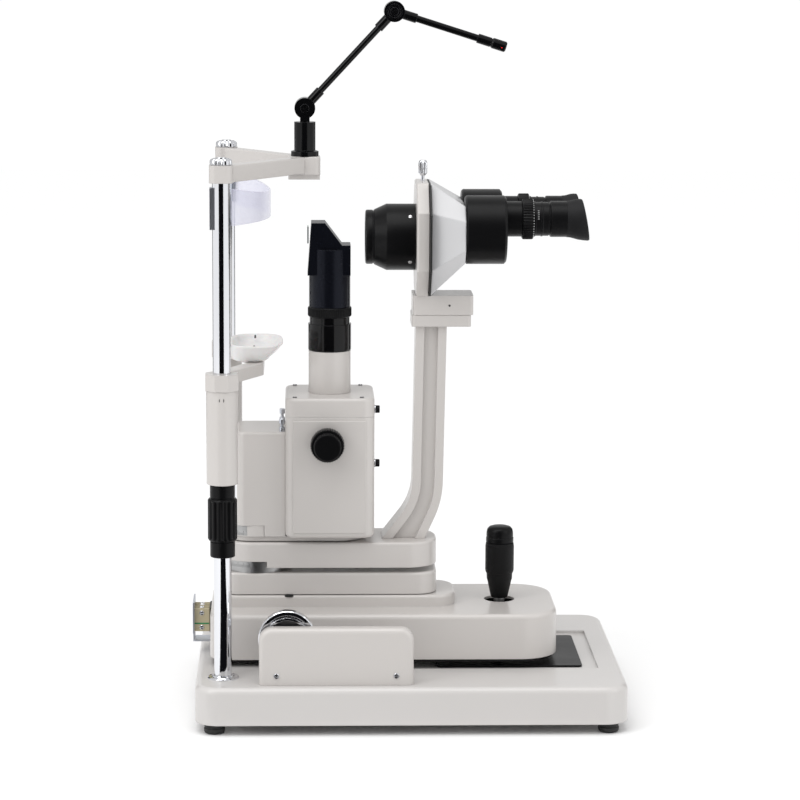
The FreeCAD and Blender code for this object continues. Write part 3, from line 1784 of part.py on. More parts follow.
housing = slab(
    "housing",
    rectangle("box_start", "box_end", "-box_half", "box_half"),
    "box_bottom",
    "box_groove_z - box_bottom",
    "box_corner",
)
round_off(housing, level(2, "box_bottom"), "box_foot_round")
housing_hollow = rectangle(
    "box_start + box_wall",
    "box_end - box_wall",
    "-box_half + box_wall",
    "box_half - box_wall",
    "(box_corner - box_wall)",
    "(box_corner - box_wall)",
)
pocket(
    housing,
    outline(housing, "XY_Plane", housing_hollow, "box_groove_z"),
    "box_groove_z - box_bottom - 2 * box_wall",
)
vent_end = "vent_start + vent_width"
for vent_low, vent_high in (("vent_start", vent_end), ("-(%s)" % vent_end, "-vent_start")):
    vent = rectangle("tower_x - vent_half_length", "tower_x + vent_half_length", vent_low, vent_high)
    pocket(housing, outline(housing, "XY_Plane", vent, "box_bottom"), "2 * box_wall", back=True)
knob_bore = [("knob_x", "knob_z", "knob_shaft + running_gap")]
pocket(housing, circles(housing, "XZ_Plane", knob_bore), "base_width", both=True)
node(housing, "lamp_housing")

cap_low = "box_groove_z"
lid = slab(
    "lid",
    rectangle("box_start", "box_end", "-box_half", "box_half"),
    cap_low,
    "box_top - (%s)" % cap_low,
    "box_corner",
    "lid_round",
)
pocket(
    lid,
    circles(lid, "XY_Plane", [("tower_x", "0", "white_tube_bore")], cap_low),
    "box_top - (%s)" % cap_low,
    back=True,
)
node(lid, "lamp_housing_lid")

bulb_profile = [
    ("0", "box_bottom + 2 * box_wall"),
    ("bulb_cap_radius", "box_bottom + 2 * box_wall"),
    ("bulb_cap_radius", "box_bottom + 2 * box_wall + bulb_cap"),
    ("bulb_radius - bulb_neck", "box_bottom + 2 * box_wall + bulb_cap + bulb_neck"),
    ("bulb_radius", "bulb_top - bulb_belly"),
    ("bulb_radius", "bulb_top - bulb_shoulder"),
    ("bulb_radius - bulb_crown", "bulb_top"),
    ("0", "bulb_top"),
]
node(place(turned("bulb", bulb_profile), "tower_x", "0"), "lamp_bulb")

knob_near = "box_half + 2"
knob_profile = [
    ("0", "-knob_reach"),
    ("knob_face_radius", "-knob_reach"),
    ("knob_face_radius", "-knob_reach + knob_face"),
    ("knob_radius", "-knob_reach + knob_face + knob_slope"),
    ("knob_radius", "-(%s) - knob_skirt" % knob_near),
    ("knob_radius - knob_bevel", "-(%s)" % knob_near),
    ("knob_shaft", "-(%s)" % knob_near),
    ("knob_shaft", knob_near),
    ("knob_radius - knob_bevel", knob_near),
    ("knob_radius", knob_near + " + knob_skirt"),
    ("knob_radius", "knob_reach - knob_face - knob_slope"),
    ("knob_face_radius", "knob_reach - knob_face"),
    ("knob_face_radius", "knob_reach"),
    ("0", "knob_reach"),
]
node(place(turned("knob", knob_profile), "knob_x", "0", "knob_z", ALONG_Y), "slit_knobs")

white_tube = place(
    tube(
        "white_tube", "white_tube_bore", "white_tube_radius", "white_tube_top - box_top"
    ), "tower_x", "0", "box_top"
)
node(white_tube, "tower_tube")

blade = cuboid(
    "blade",
    ("tower_x - blade_width / 2", "tower_x + blade_width / 2"),
    ("-blade_gap / 2 - blade_length", "-blade_gap / 2"),
    ("blade_z", "blade_z + blade_thickness"),
)
node(blade, "slit_blade_left")
node(mirrored(blade, "blade_far"), "slit_blade_right")

collar_profile = [
    ("white_tube_bore", "white_tube_top"),
    ("collar_radius - 1", "white_tube_top"),
    ("collar_radius", "white_tube_top + 1"),
    ("collar_radius", "collar_top"),
    ("neck_radius", "collar_top"),
    ("neck_radius", "neck_top - slide_gap"),
    ("white_tube_bore + 1", "neck_top - slide_gap"),
    ("white_tube_bore + 1", "ring_top + slide_gap"),
    ("white_tube_bore", "ring_top + slide_gap"),
]
node(place(turned("tower_collar", collar_profile), "tower_x", "0"), "tower_collar")

ring = tube("ring", "white_tube_bore + 1 + running_gap", "ring_radius", "ring_top - neck_top")
node(place(ring, "tower_x", "0", "neck_top"), "aperture_ring")

barrel = tube("barrel", "head_bore", "upper_radius", "barrel_top - ring_top - slide_gap")
place(barrel, "tower_x", "0", "ring_top + slide_gap")

head = new_body("head")
head_points = [
    ("head_left", "barrel_top"),
    ("head_shoulder_x", "barrel_top"),
    ("head_shoulder_x", "head_shoulder_z"),
    ("head_slope_end", "head_shoulder_z"),
    ("head_flat_end", "head_plate_top"),
    ("head_left + head_plate_lean", "head_plate_top"),
]
pad(head, outline(head, "XZ_Plane", head_points), "2 * (head_radius - head_side_inset)", both=True)
head_round = cylinder(
    "head_round", "head_radius", "head_round_top - barrel_top", "tower_x", "0", "barrel_top"
)
node(joined("head_body", [barrel, head, head_round]), "mirror_head")

# ---------------------------------------------------------------------------------------------
# Checks and files
# ---------------------------------------------------------------------------------------------

doc.recompute()
for thing in doc.Objects:
    if "Invalid" in thing.State or "Error" in thing.State:
        raise RuntimeError("%s did not recompute: %s" % (thing.Label, thing.State))

labels = [thing.Label for thing in nodes]
if len(set(labels)) != len(labels):
    raise RuntimeError("two sub-parts share a label")

os.makedirs("parts", exist_ok=True)
for thing in nodes:
    shape = thing.Shape
    if shape.isNull() or not shape.isValid() or not shape.Solids:
        raise RuntimeError("%s has no sound shape" % thing.Label)
for thing in nodes:
    thing.Shape.exportStep("parts/%s.step" % thing.Label)
print("%d sub-parts written" % len(nodes))
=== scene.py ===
import math

import bmesh
import bpy
from mathutils import Matrix, Vector


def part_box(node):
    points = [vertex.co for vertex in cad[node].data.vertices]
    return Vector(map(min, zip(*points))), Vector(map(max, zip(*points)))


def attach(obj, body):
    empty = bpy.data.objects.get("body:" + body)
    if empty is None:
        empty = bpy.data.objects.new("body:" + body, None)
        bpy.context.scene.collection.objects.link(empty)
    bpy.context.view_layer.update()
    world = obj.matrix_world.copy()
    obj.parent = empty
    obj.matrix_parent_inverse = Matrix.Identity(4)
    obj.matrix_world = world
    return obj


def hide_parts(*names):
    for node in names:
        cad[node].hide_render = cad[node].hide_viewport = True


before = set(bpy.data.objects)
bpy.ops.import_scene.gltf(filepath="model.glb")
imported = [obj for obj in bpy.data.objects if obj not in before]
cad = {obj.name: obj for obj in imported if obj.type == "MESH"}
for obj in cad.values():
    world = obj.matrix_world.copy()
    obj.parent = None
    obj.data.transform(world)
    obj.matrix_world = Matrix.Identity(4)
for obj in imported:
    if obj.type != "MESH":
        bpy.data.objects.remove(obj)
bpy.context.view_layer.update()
scene = bpy.context.scene
scene.view_settings.view_transform = "Standard"


# ---------------------------------------------------------------------------------------------
# The camera: a long lens a little above the microscope, looking across the instrument.
# ---------------------------------------------------------------------------------------------

camera_data = bpy.data.cameras.new("camera")
camera_data.lens = 137.65
camera_data.sensor_width = 36
camera_data.clip_end = 20
camera = bpy.data.objects.new("camera", camera_data)
scene.collection.objects.link(camera)
yaw, pitch, roll = (math.radians(angle) for angle in (1.92, -9.13, 0.28))
ahead = Vector((math.sin(yaw) * math.cos(pitch), math.cos(yaw) * math.cos(pitch), math.sin(pitch)))
level = Vector((math.cos(yaw), -math.sin(yaw), 0))
upward = level.cross(ahead)
side = level * math.cos(roll) + upward * math.sin(roll)
top = upward * math.cos(roll) - level * math.sin(roll)
camera.matrix_world = Matrix(
    (
        (side.x, top.x, -ahead.x, -0.1043), (side.y, top.y, -ahead.y, -2.8740),
        (side.z, top.z, -ahead.z, 0.7508), (0, 0, 0, 1),
    )
)
scene.camera = camera


# ---------------------------------------------------------------------------------------------
# The studio: white paper under a bright dome, two soft boxes, and dark cards that only polished
# metal and enamel reflect, which give them their dark stripes.
# ---------------------------------------------------------------------------------------------


def flat_sheet(name, outline, colour, roughness):
    """A flat sheet of the studio, which isn't part of the instrument."""
    mesh = bpy.data.meshes.new(name)
    mesh.from_pydata(outline, [], [(0, 1, 2, 3)])
    sheet = bpy.data.objects.new(name, mesh)
    scene.collection.objects.link(sheet)
    surface = bpy.data.materials.new(name)
    surface.use_nodes = True
    shader = surface.node_tree.nodes["Principled BSDF"]
    shader.inputs["Base Color"].default_value = colour
    shader.inputs["Roughness"].default_value = roughness
    shader.inputs["Specular IOR Level"].default_value = 0
    mesh.materials.append(surface)
    return sheet


def soft_light(name, place, aim, width, height, watts):
    data = bpy.data.lights.new(name, "AREA")
    data.shape = "RECTANGLE"
    data.size = width
    data.size_y = height
    data.energy = watts
    lamp = bpy.data.objects.new(name, data)
    lamp.location = place
    lamp.rotation_euler = (Vector(aim) - Vector(place)).to_track_quat("-Z", "Y").to_euler()
    scene.collection.objects.link(lamp)


flat_sheet("paper", [(-6, -6, 0), (6, -6, 0), (6, 6, 0), (-6, 6, 0)], (0.95, 0.95, 0.95, 1), 0.7)

CARD_TOP = 1.25
CARD_FOOT = 0.001


def dark_card(name, corners_of_card):
    """A black card that shows in reflections and nowhere else."""
    card = flat_sheet(name, corners_of_card, (0.004, 0.004, 0.005, 1), 1)
    card.visible_camera = False
    card.visible_diffuse = False
    card.visible_shadow = False
    card.visible_transmission = False


for card_name, left, right, card_y in (
    ("front_card", -0.78, 0.42, -1.15),
    ("left_card", -1.5, -0.72, 1.2),
    ("right_card", 0.72, 1.5, 1.2),
):
    upright = [(left, CARD_FOOT), (right, CARD_FOOT), (right, CARD_TOP), (left, CARD_TOP)]
    dark_card(card_name, [(x, card_y, z) for x, z in upright])
lying = [(-0.62, -1.15), (0.36, -1.15), (0.2, -0.19), (-0.3, -0.19)]
dark_card("floor_card", [(x, y, 0.0015) for x, y in lying])

soft_light("left_box", (-1.5, -1.3, 1.5), (0, 0, 0.3), 0.9, 1.3, 9)
soft_light("right_box", (1.6, -1.0, 1.2), (0, 0, 0.3), 0.8, 1.4, 5)
overhead = bpy.data.lights.new("overhead", "SUN")
overhead.energy = 1.15
overhead.angle = math.radians(50)
overhead_lamp = bpy.data.objects.new("overhead", overhead)
overhead_lamp.rotation_euler = (math.radians(14), math.radians(-10), 0)
scene.collection.objects.link(overhead_lamp)

world = bpy.data.worlds.new("studio")
world.use_nodes = True
dome = world.node_tree.nodes["Background"]
dome.inputs["Color"].default_value = (1, 1, 1, 1)
ray = world.node_tree.nodes.new("ShaderNodeLightPath")
brightness = world.node_tree.nodes.new("ShaderNodeMapRange")
brightness.inputs["To Min"].default_value = 0.70
brightness.inputs["To Max"].default_value = 1.02
world.node_tree.links.new(ray.outputs["Is Camera Ray"], brightness.inputs["Value"])
world.node_tree.links.new(brightness.outputs["Result"], dome.inputs["Strength"])
scene.world = world


# ---------------------------------------------------------------------------------------------
# Base: one hollow aluminium casting on four moulded rubber feet, powder coated all over. The
# coat has a fine orange peel, and its colour is lighter along every edge: partly wear, partly a
# painted highlight.
# ---------------------------------------------------------------------------------------------


def node_group(name, inputs, outputs):
    """An empty shader group with named sockets, and the nodes that lead in and out of it."""
    group = bpy.data.node_groups.new(name, "ShaderNodeTree")
    for label, kind, value in inputs:
        group.interface.new_socket(label, in_out="INPUT", socket_type=kind).default_value = value
    for label, kind in outputs:
        group.interface.new_socket(label, in_out="OUTPUT", socket_type=kind)
    return group, group.nodes.new("NodeGroupInput"), group.nodes.new("NodeGroupOutput")


def noise_in(group, scale, detail=2.0):
    """Noise in the piece's own space; the scale is a number or a socket of the group."""
    noise = group.nodes.new("ShaderNodeTexNoise")
    noise.inputs["Detail"].default_value = detail
    space = group.nodes.new("ShaderNodeTexCoord")
    group.links.new(space.outputs["Object"], noise.inputs["Vector"])
    if isinstance(scale, (int, float)):
        noise.inputs["Scale"].default_value = scale
    else:
        group.links.new(scale, noise.inputs["Scale"])
    return noise


def math_in(group, operation, first, second):
    """One sum on two values, each a number or a socket."""
    step = group.nodes.new("ShaderNodeMath")
    step.operation = operation
    for socket, value in zip(step.inputs, (first, second)):
        if isinstance(value, (int, float)):
            socket.default_value = value
        else:
            group.links.new(value, socket)
    return step.outputs[0]


def blend_in(group, factor, first, second):
    """A mix of two colours."""
    mix = group.nodes.new("ShaderNodeMix")
    mix.data_type = "RGBA"
    for label, value in (("Factor", factor), ("A", first), ("B", second)):
        kind = "VALUE" if label == "Factor" else "RGBA"
        socket = [item for item in mix.inputs if item.name == label and item.type == kind][0]
        group.links.new(value, socket)
    return [item for item in mix.outputs if item.type == "RGBA"][0]


COLOUR, NUMBER, DIRECTION = "NodeSocketColor", "NodeSocketFloat", "NodeSocketVector"

# Coating: a colour that drifts a little over the surface, with a fine grain in its relief.
coating, given, put = node_group(
    "coating",
    [
        ("Colour", COLOUR, (0.8, 0.8, 0.8, 1)),
        ("Shade", NUMBER, 0.94),
        ("Roughness", NUMBER, 0.3),
        ("Patchiness", NUMBER, 0.1),
        ("Grain", NUMBER, 700.0),
    ],
    [("Colour", COLOUR), ("Roughness", NUMBER), ("Height", NUMBER)],
)
drift = noise_in(coating, 9.0, 3.0)
darker = coating.nodes.new("ShaderNodeVectorMath")
darker.operation = "SCALE"
coating.links.new(given.outputs["Colour"], darker.inputs["Vector"])
coating.links.new(given.outputs["Shade"], darker.inputs["Scale"])
tinted = blend_in(coating, drift.outputs["Fac"], given.outputs["Colour"], darker.outputs["Vector"])
coating.links.new(tinted, put.inputs["Colour"])
smudge = noise_in(coating, 26.0, 4.0)
uneven = math_in(coating, "MULTIPLY", smudge.outputs["Fac"], given.outputs["Patchiness"])
rough = math_in(coating, "ADD", uneven, given.outputs["Roughness"])
coating.links.new(rough, put.inputs["Roughness"])
grain = noise_in(coating, given.outputs["Grain"], 2.0)
coating.links.new(grain.outputs["Fac"], put.inputs["Height"])

# Edge: finds the edges of a piece, to round them in the light and to mask where their colour is
# made lighter, partly as wear and partly as a painted highlight.
edge_finder, given, put = node_group(
    "edge_finder",
    [("Width", NUMBER, 0.001), ("Strength", NUMBER, 4.0)],
    [("Mask", NUMBER), ("Normal", DIRECTION)],
)
rounder = edge_finder.nodes.new("ShaderNodeBevel")
rounder.samples = 4
edge_finder.links.new(given.outputs["Width"], rounder.inputs["Radius"])
surface_facts = edge_finder.nodes.new("ShaderNodeNewGeometry")
alike = edge_finder.nodes.new("ShaderNodeVectorMath")
alike.operation = "DOT_PRODUCT"
edge_finder.links.new(rounder.outputs["Normal"], alike.inputs[0])
edge_finder.links.new(surface_facts.outputs["Normal"], alike.inputs[1])
turned_away = math_in(edge_finder, "SUBTRACT", 1.0, alike.outputs["Value"])
strong = math_in(edge_finder, "MULTIPLY", turned_away, given.outputs["Strength"])
held_back = math_in(edge_finder, "MINIMUM", strong, 1.0)
edge_finder.links.new(held_back, put.inputs["Mask"])
edge_finder.links.new(rounder.outputs["Normal"], put.inputs["Normal"])


def relief_in(tree, height, strength, depth, normal=None):
    """Give a material's shader the relief of a height."""
    bump = tree.nodes.new("ShaderNodeBump")
    bump.inputs["Strength"].default_value = strength
    bump.inputs["Distance"].default_value = depth
    tree.links.new(height, bump.inputs["Height"])
    if normal is not None:
        tree.links.new(normal, bump.inputs["Normal"])
    tree.links.new(bump.outputs["Normal"], tree.nodes["Principled BSDF"].inputs["Normal"])


def group_in(tree, group, **values):
    """Place a shader group in a material, with this material's values."""
    placed = tree.nodes.new("ShaderNodeGroup")
    placed.node_tree = group
    for label, value in values.items():
        placed.inputs[label].default_value = value
    return placed


def skinned(name, colour, roughness, shade=0.85, patchiness=0.1, grain=900, **uniform):
    """A surface with the coating's colour and sheen; uniform values go on the shader's sockets."""
    material = bpy.data.materials.new(name)
    material.use_nodes = True
    tree = material.node_tree
    shader = tree.nodes["Principled BSDF"]
    look = dict(Shade=shade, Roughness=roughness, Patchiness=patchiness, Grain=float(grain))
    skin = group_in(tree, coating, Colour=(*colour, 1), **look)
    tree.links.new(skin.outputs["Colour"], shader.inputs["Base Color"])
    tree.links.new(skin.outputs["Roughness"], shader.inputs["Roughness"])
    for label, value in uniform.items():
        shader.inputs[label.replace("_", " ")].default_value = value
    return material, skin


def coated(name, colour, edge_wear_and_highlight, edge_width, roughness, relief=0.2, **look):
    """Paint, enamel, rubber or moulded plastic, with its grain, and with edges made lighter
    partly by wear and partly by a painted highlight.
    """
    material, skin = skinned(name, colour, roughness, **look)
    tree = material.node_tree
    shader = tree.nodes["Principled BSDF"]
    rim = group_in(tree, edge_finder, Width=edge_width)
    # The edge colour is lighter than the coat: partly wear, partly a painted highlight on every edge.
    worn_and_lit_edge = tree.nodes.new("ShaderNodeRGB")
    worn_and_lit_edge.outputs[0].default_value = (*edge_wear_and_highlight, 1)
    with_worn_lit_edges = blend_in(tree, rim.outputs["Mask"], skin.outputs["Colour"], worn_and_lit_edge.outputs[0])
    tree.links.new(with_worn_lit_edges, shader.inputs["Base Color"])
    relief_in(tree, skin.outputs["Height"], relief, 0.0002, rim.outputs["Normal"])
    return material


def dress(material, *names):
    """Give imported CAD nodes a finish."""
    for name in names:
        mesh = cad[name].data
        mesh.materials.clear()
        mesh.materials.append(material)


casting_paint = coated(
    "casting_paint", colour=(0.62, 0.60, 0.585), edge_wear_and_highlight=(0.70, 0.685, 0.67), edge_width=0.0016,
    roughness=0.26, relief=0.32, shade=0.95, patchiness=0.12, grain=520, Coat_Weight=0.25,
    Coat_Roughness=0.2,
)
dress(casting_paint, "base_casting")

foot_rubber = coated(
    "foot_rubber", colour=(0.012, 0.012, 0.012), edge_wear_and_highlight=(0.03, 0.03, 0.03), edge_width=0.0008,
    roughness=0.42, relief=0.4, shade=0.8, patchiness=0.25, grain=1400,
)

MM = 0.001


def spun(work, place, profile, segments=72, ribs=0, power=1.0):
    """Spin a profile about the place's Z axis and add it to a piece.

    Profile points are (radius, height) in millimetres, or (radius, height, depth) where a number
    of flutes of that depth is cut along the rim. The profile goes up along its outside.
    """
    rings = []
    for point in profile:
        radius, height = point[0], point[1]
        depth = point[2] if len(point) > 2 else 0
        if radius == 0:
            rings.append([work.verts.new(place @ Vector((0, 0, height * MM)))])
            continue
        ring = []
        for i in range(segments):
            angle = 2 * math.pi * i / segments
            flute = (0.5 - 0.5 * math.cos(ribs * angle)) ** power
            reach = (radius - depth * flute) * MM
            spot = Vector((reach * math.cos(angle), reach * math.sin(angle), height * MM))
            ring.append(work.verts.new(place @ spot))
        rings.append(ring)
    for lower, upper in zip(rings, rings[1:]):
        for i in range(segments):
            after = (i + 1) % segments
            if len(lower) == 1 and len(upper) == 1:
                continue
            if len(lower) == 1:
                work.faces.new((lower[0], upper[after], upper[i]))
            elif len(upper) == 1:
                work.faces.new((lower[i], lower[after], upper[0]))
            else:
                work.faces.new((lower[i], lower[after], upper[after], upper[i]))


def made(work, name, body, material, replaces=(), bevel=0.0, crease=32):
    """Turn the work into a piece: its mesh, its edges, its finish and the body that it rides on."""
    bmesh.ops.recalc_face_normals(work, faces=work.faces)
    mesh = bpy.data.meshes.new(name)
    work.to_mesh(mesh)
    work.free()
    for polygon in mesh.polygons:
        polygon.use_smooth = True
    mesh.set_sharp_from_angle(angle=math.radians(crease))
    mesh.materials.append(material)
    piece = bpy.data.objects.new(name, mesh)
    scene.collection.objects.link(piece)
    if bevel:
        edge = piece.modifiers.new("edge", "BEVEL")
        edge.width = bevel * MM
        edge.segments = 2
        edge.limit_method = "ANGLE"
        edge.angle_limit = math.radians(crease)
        edge.harden_normals = True
    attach(piece, body)
    if replaces:
        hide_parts(*replaces)
    return piece


def pointing(direction, origin=(0, 0, 0)):
    """A place whose Z axis points in a direction."""
    turn = Vector(direction).normalized().to_track_quat("Z", "Y")
    return Matrix.Translation(Vector(origin)) @ turn.to_matrix().to_4x4()


def centre(low, high):
    return (Vector(low) + Vector(high)) / 2


def corners(name):
    """The lowest and highest corner of a CAD node at rest."""
    return [Vector(corner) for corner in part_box(name)]


feet_low, feet_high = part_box("rubber_feet")
FOOT_RADIUS = 9.7
foot_profile = [
    (0, 3.5), (3.2, 3.5), (3.2, 0), (FOOT_RADIUS - 2.2, 0), (FOOT_RADIUS - 0.7, 0.7),
    (FOOT_RADIUS, 2.4), (FOOT_RADIUS, 5.0), (FOOT_RADIUS - 0.9, 5.6), (FOOT_RADIUS - 0.9, 6.6),
    (FOOT_RADIUS, 7.2), (FOOT_RADIUS, 10), (0, 10),
]
feet = bmesh.new()
for foot_x in (feet_low[0] + FOOT_RADIUS * MM, feet_high[0] - FOOT_RADIUS * MM):
    for foot_y in (feet_low[1] + FOOT_RADIUS * MM, feet_high[1] - FOOT_RADIUS * MM):
        spun(feet, Matrix.Translation((foot_x, foot_y, 0)), foot_profile, 64)
made(feet, "moulded_feet", "base", foot_rubber, ["rubber_feet"], 0.3)


# ---------------------------------------------------------------------------------------------
# Track: two ground steel rails under pressed steel covers, which hide all but the top of the
# running wheels. Each cover is painted and held by two plated screws with crossed slots.
# ---------------------------------------------------------------------------------------------

# Ground metal: the fine lines that grinding, turning or drawing leaves.
tool_marks, given, put = node_group(
    "tool_marks",
    [
        ("Stretch", DIRECTION, (1, 1, 1)),
        ("Scale", NUMBER, 60.0),
        ("Roughness", NUMBER, 0.25),
        ("Spread", NUMBER, 0.15),
    ],
    [("Roughness", NUMBER), ("Height", NUMBER)],
)
own_space = tool_marks.nodes.new("ShaderNodeTexCoord")
drawn_out = tool_marks.nodes.new("ShaderNodeVectorMath")
drawn_out.operation = "MULTIPLY"
tool_marks.links.new(own_space.outputs["Object"], drawn_out.inputs[0])
tool_marks.links.new(given.outputs["Stretch"], drawn_out.inputs[1])
lines = tool_marks.nodes.new("ShaderNodeTexNoise")
lines.inputs["Detail"].default_value = 3.0
tool_marks.links.new(drawn_out.outputs["Vector"], lines.inputs["Vector"])
tool_marks.links.new(given.outputs["Scale"], lines.inputs["Scale"])
spread = math_in(tool_marks, "MULTIPLY", lines.outputs["Fac"], given.outputs["Spread"])
duller = math_in(tool_marks, "ADD", spread, given.outputs["Roughness"])
tool_marks.links.new(duller, put.inputs["Roughness"])
tool_marks.links.new(lines.outputs["Fac"], put.inputs["Height"])


def bare_metal(name, colour, roughness, spread, scale, stretch, relief, edge_width=0.0005):
    """Bare or plated metal with its tool marks."""
    material = bpy.data.materials.new(name)
    material.use_nodes = True
    tree = material.node_tree
    shader = tree.nodes["Principled BSDF"]
    shader.inputs["Base Color"].default_value = (*colour, 1)
    shader.inputs["Metallic"].default_value = 1
    marks = group_in(
        tree, tool_marks, Stretch=stretch, Scale=float(scale), Roughness=roughness, Spread=spread
    )
    rim = group_in(tree, edge_finder, Width=edge_width)
    tree.links.new(marks.outputs["Roughness"], shader.inputs["Roughness"])
    relief_in(tree, marks.outputs["Height"], relief, 0.0001, rim.outputs["Normal"])
    return material


ground_steel = bare_metal("ground_steel", (0.6, 0.6, 0.61), 0.22, 0.22, 260, (0.04, 1, 1), 0.25)
chrome_plate = bare_metal("chrome_plate", (0.80, 0.81, 0.84), 0.03, 0.04, 90, (1, 1, 0.1), 0.01)
cream_paint = coated(
    "cream_paint", colour=(0.60, 0.572, 0.55), edge_wear_and_highlight=(0.68, 0.655, 0.635), edge_width=0.0012,
    roughness=0.25, shade=0.965, grain=620, Coat_Weight=0.3, Coat_Roughness=0.15,
)
dress(ground_steel, "track_rails")
dress(cream_paint, "rail_covers")


def screw_head(work, place, radius, height, slots=2):
    """A pan head screw: a disc with two or four pads on it, which leave one slot or a cross."""
    floor = height * 0.45
    rim = radius * 0.98
    spun(work, place, [(0, 0), (radius, 0), (radius, floor), (rim, floor), (0, floor)], 32)
    half_slot = radius * 0.16
    swing = math.asin(half_slot / rim)
    sector = math.pi / slots
    for pad in range(2 * slots):
        start, stop = pad * sector + swing, (pad + 1) * sector - swing
        outline = []
        for i in range(9):
            angle = start + (stop - start) * i / 8
            outline.append((rim * math.cos(angle), rim * math.sin(angle), 1))
        if slots == 2:
            corner = Matrix.Rotation(pad * sector, 2) @ Vector((half_slot, half_slot))
            outline.append((corner.x, corner.y, 0))
        levels = []
        for shrink, lift in ((1.0, floor), (1.0, height * 0.72), (0.82, height)):
            ring = []
            for x, y, on_rim in outline:
                share = shrink if on_rim else 1
                ring.append(work.verts.new(place @ (Vector((x * share, y * share, lift)) * MM)))
            levels.append(ring)
        for lower, upper in zip(levels, levels[1:]):
            for i in range(len(outline)):
                after = (i + 1) % len(outline)
                work.faces.new((lower[i], lower[after], upper[after], upper[i]))
        work.faces.new(levels[-1])


covers_low, covers_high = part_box("rail_covers")
COVER_SCREW_INSET = 0.016
COVER_SCREW_RISE = 0.009
cover_screws = bmesh.new()
for screw_x in (covers_low[0] + COVER_SCREW_INSET, covers_high[0] - COVER_SCREW_INSET):
    for screw_y, outward in ((covers_low[1], -1), (covers_high[1], 1)):
        spot = (screw_x, screw_y - outward * 0.5 * MM, covers_low[2] + COVER_SCREW_RISE)
        screw_head(cover_screws, pointing((0, outward, 0), spot), 2.6, 1.5)
made(cover_screws, "cover_screws", "base", chrome_plate, ["frame_screws"])


# ---------------------------------------------------------------------------------------------
# Running gear: two plated wheels pressed on one steel axle, inside a chromed sleeve. Each wheel
# has a polished tyre, a turned groove and a dark web with three copper coloured screws.
# ---------------------------------------------------------------------------------------------

dark_steel = bare_metal("dark_steel", (0.16, 0.16, 0.165), 0.3, 0.2, 200, (1, 1, 1), 0.3)
dress(chrome_plate, "axle_sleeve")
dress(ground_steel, "cross_axle")
wheels_low, wheels_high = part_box("track_wheels")
wheel_axis = centre(wheels_low, wheels_high)
WHEEL = (wheels_high[2] - wheels_low[2]) / 2 / MM
WIDE = 9.0
tyre_profile = [
    (WHEEL - 9.0, 0.0), (WHEEL - 1.0, 0.0), (WHEEL, 0.9), (WHEEL, WIDE - 1.0), (WHEEL - 1.0, WIDE),
    (WHEEL - 4.2, WIDE), (WHEEL - 4.6, WIDE - 1.6), (WHEEL - 6.2, WIDE - 1.6),
    (WHEEL - 6.6, WIDE - 0.3), (WHEEL - 9.0, WIDE - 0.3),
]
web_profile = [
    (0, 1.2), (WHEEL - 9.0, 1.2), (WHEEL - 9.0, WIDE - 2.2), (5.6, WIDE - 2.2), (5.0, WIDE - 0.8),
    (3.2, WIDE - 0.6), (2.8, WIDE - 1.6), (0, WIDE - 1.6),
]
tyres = bmesh.new()
webs = bmesh.new()
grease_screws = bmesh.new()
for wheel_y, outward in ((wheels_low[1] + WIDE * MM, -1), (wheels_high[1] - WIDE * MM, 1)):
    hub = pointing((0, outward, 0), (wheel_axis.x, wheel_y, wheel_axis.z))
    spun(tyres, hub, tyre_profile + tyre_profile[:1], 96)
    spun(webs, hub, web_profile, 64)
    for bolt in range(3):
        angle = 0.86 + bolt * 2 * math.pi / 3
        spot = (
            wheel_axis.x + 9.6 * MM * math.cos(angle),
            wheel_y + outward * (WIDE - 2.2) * MM,
            wheel_axis.z + 9.6 * MM * math.sin(angle),
        )
        screw_head(grease_screws, pointing((0, outward, 0), spot), 2.2, 1.6, 1)
copper = bare_metal("copper", (0.72, 0.38, 0.22), 0.25, 0.2, 160, (1, 1, 1), 0.2)
made(tyres, "wheel_tyres", "wheel_set", chrome_plate, ["track_wheels"], 0.2)
made(webs, "wheel_webs", "wheel_set", dark_steel)
made(grease_screws, "grease_screws", "wheel_set", copper)


# ---------------------------------------------------------------------------------------------
# Posts: two ground and chromed steel bars, each with a thin turned washer at the foot and a
# ridged cap nut on top, which clamps the forehead bow.
# ---------------------------------------------------------------------------------------------

dress(chrome_plate, "posts")
posts_low, posts_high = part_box("posts")
fittings_low, fittings_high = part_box("post_fittings")
POST = (posts_high[0] - posts_low[0]) / 2 / MM
post_x = centre(posts_low, posts_high).x
post_top = posts_high[2]
near_post_y = posts_low[1] + POST * MM
far_post_y = posts_high[1] - POST * MM
WASHER = (fittings_high[0] - fittings_low[0]) / 2 / MM
NUT_TALL = (fittings_high[2] - post_top) / MM
washer_profile = [
    (POST, 0), (WASHER, 0), (WASHER, 0.9), (WASHER - 0.8, 1.5), (POST + 2.2, 1.7),
    (POST + 1.6, 3.0), (POST, 3.0), (POST, 0),
]
cap_profile = [
    (0, 0), (9.4, 0), (10.2, 0.6, 0.5), (10.2, NUT_TALL - 3.0, 0.9), (9.2, NUT_TALL - 1.7, 0.7),
    (7.6, NUT_TALL - 0.9), (7.2, NUT_TALL - 1.4), (4.6, NUT_TALL - 1.4), (4.2, NUT_TALL),
    (0, NUT_TALL),
]
fittings = bmesh.new()
for post_y in (near_post_y, far_post_y):
    foot = Matrix.Translation((post_x, post_y, fittings_low[2]))
    spun(fittings, foot, washer_profile, 96)
    crown = Matrix.Translation((post_x, post_y, post_top))
    spun(fittings, crown, cap_profile, 144, 18)
made(fittings, "post_nuts", "base", chrome_plate, ["post_fittings"])


# ---------------------------------------------------------------------------------------------
# Height nut: a moulded black sleeve on the near post. Its grip has deep upright flutes between
# two plain necks, and turning it raises the chin rest.
# ---------------------------------------------------------------------------------------------

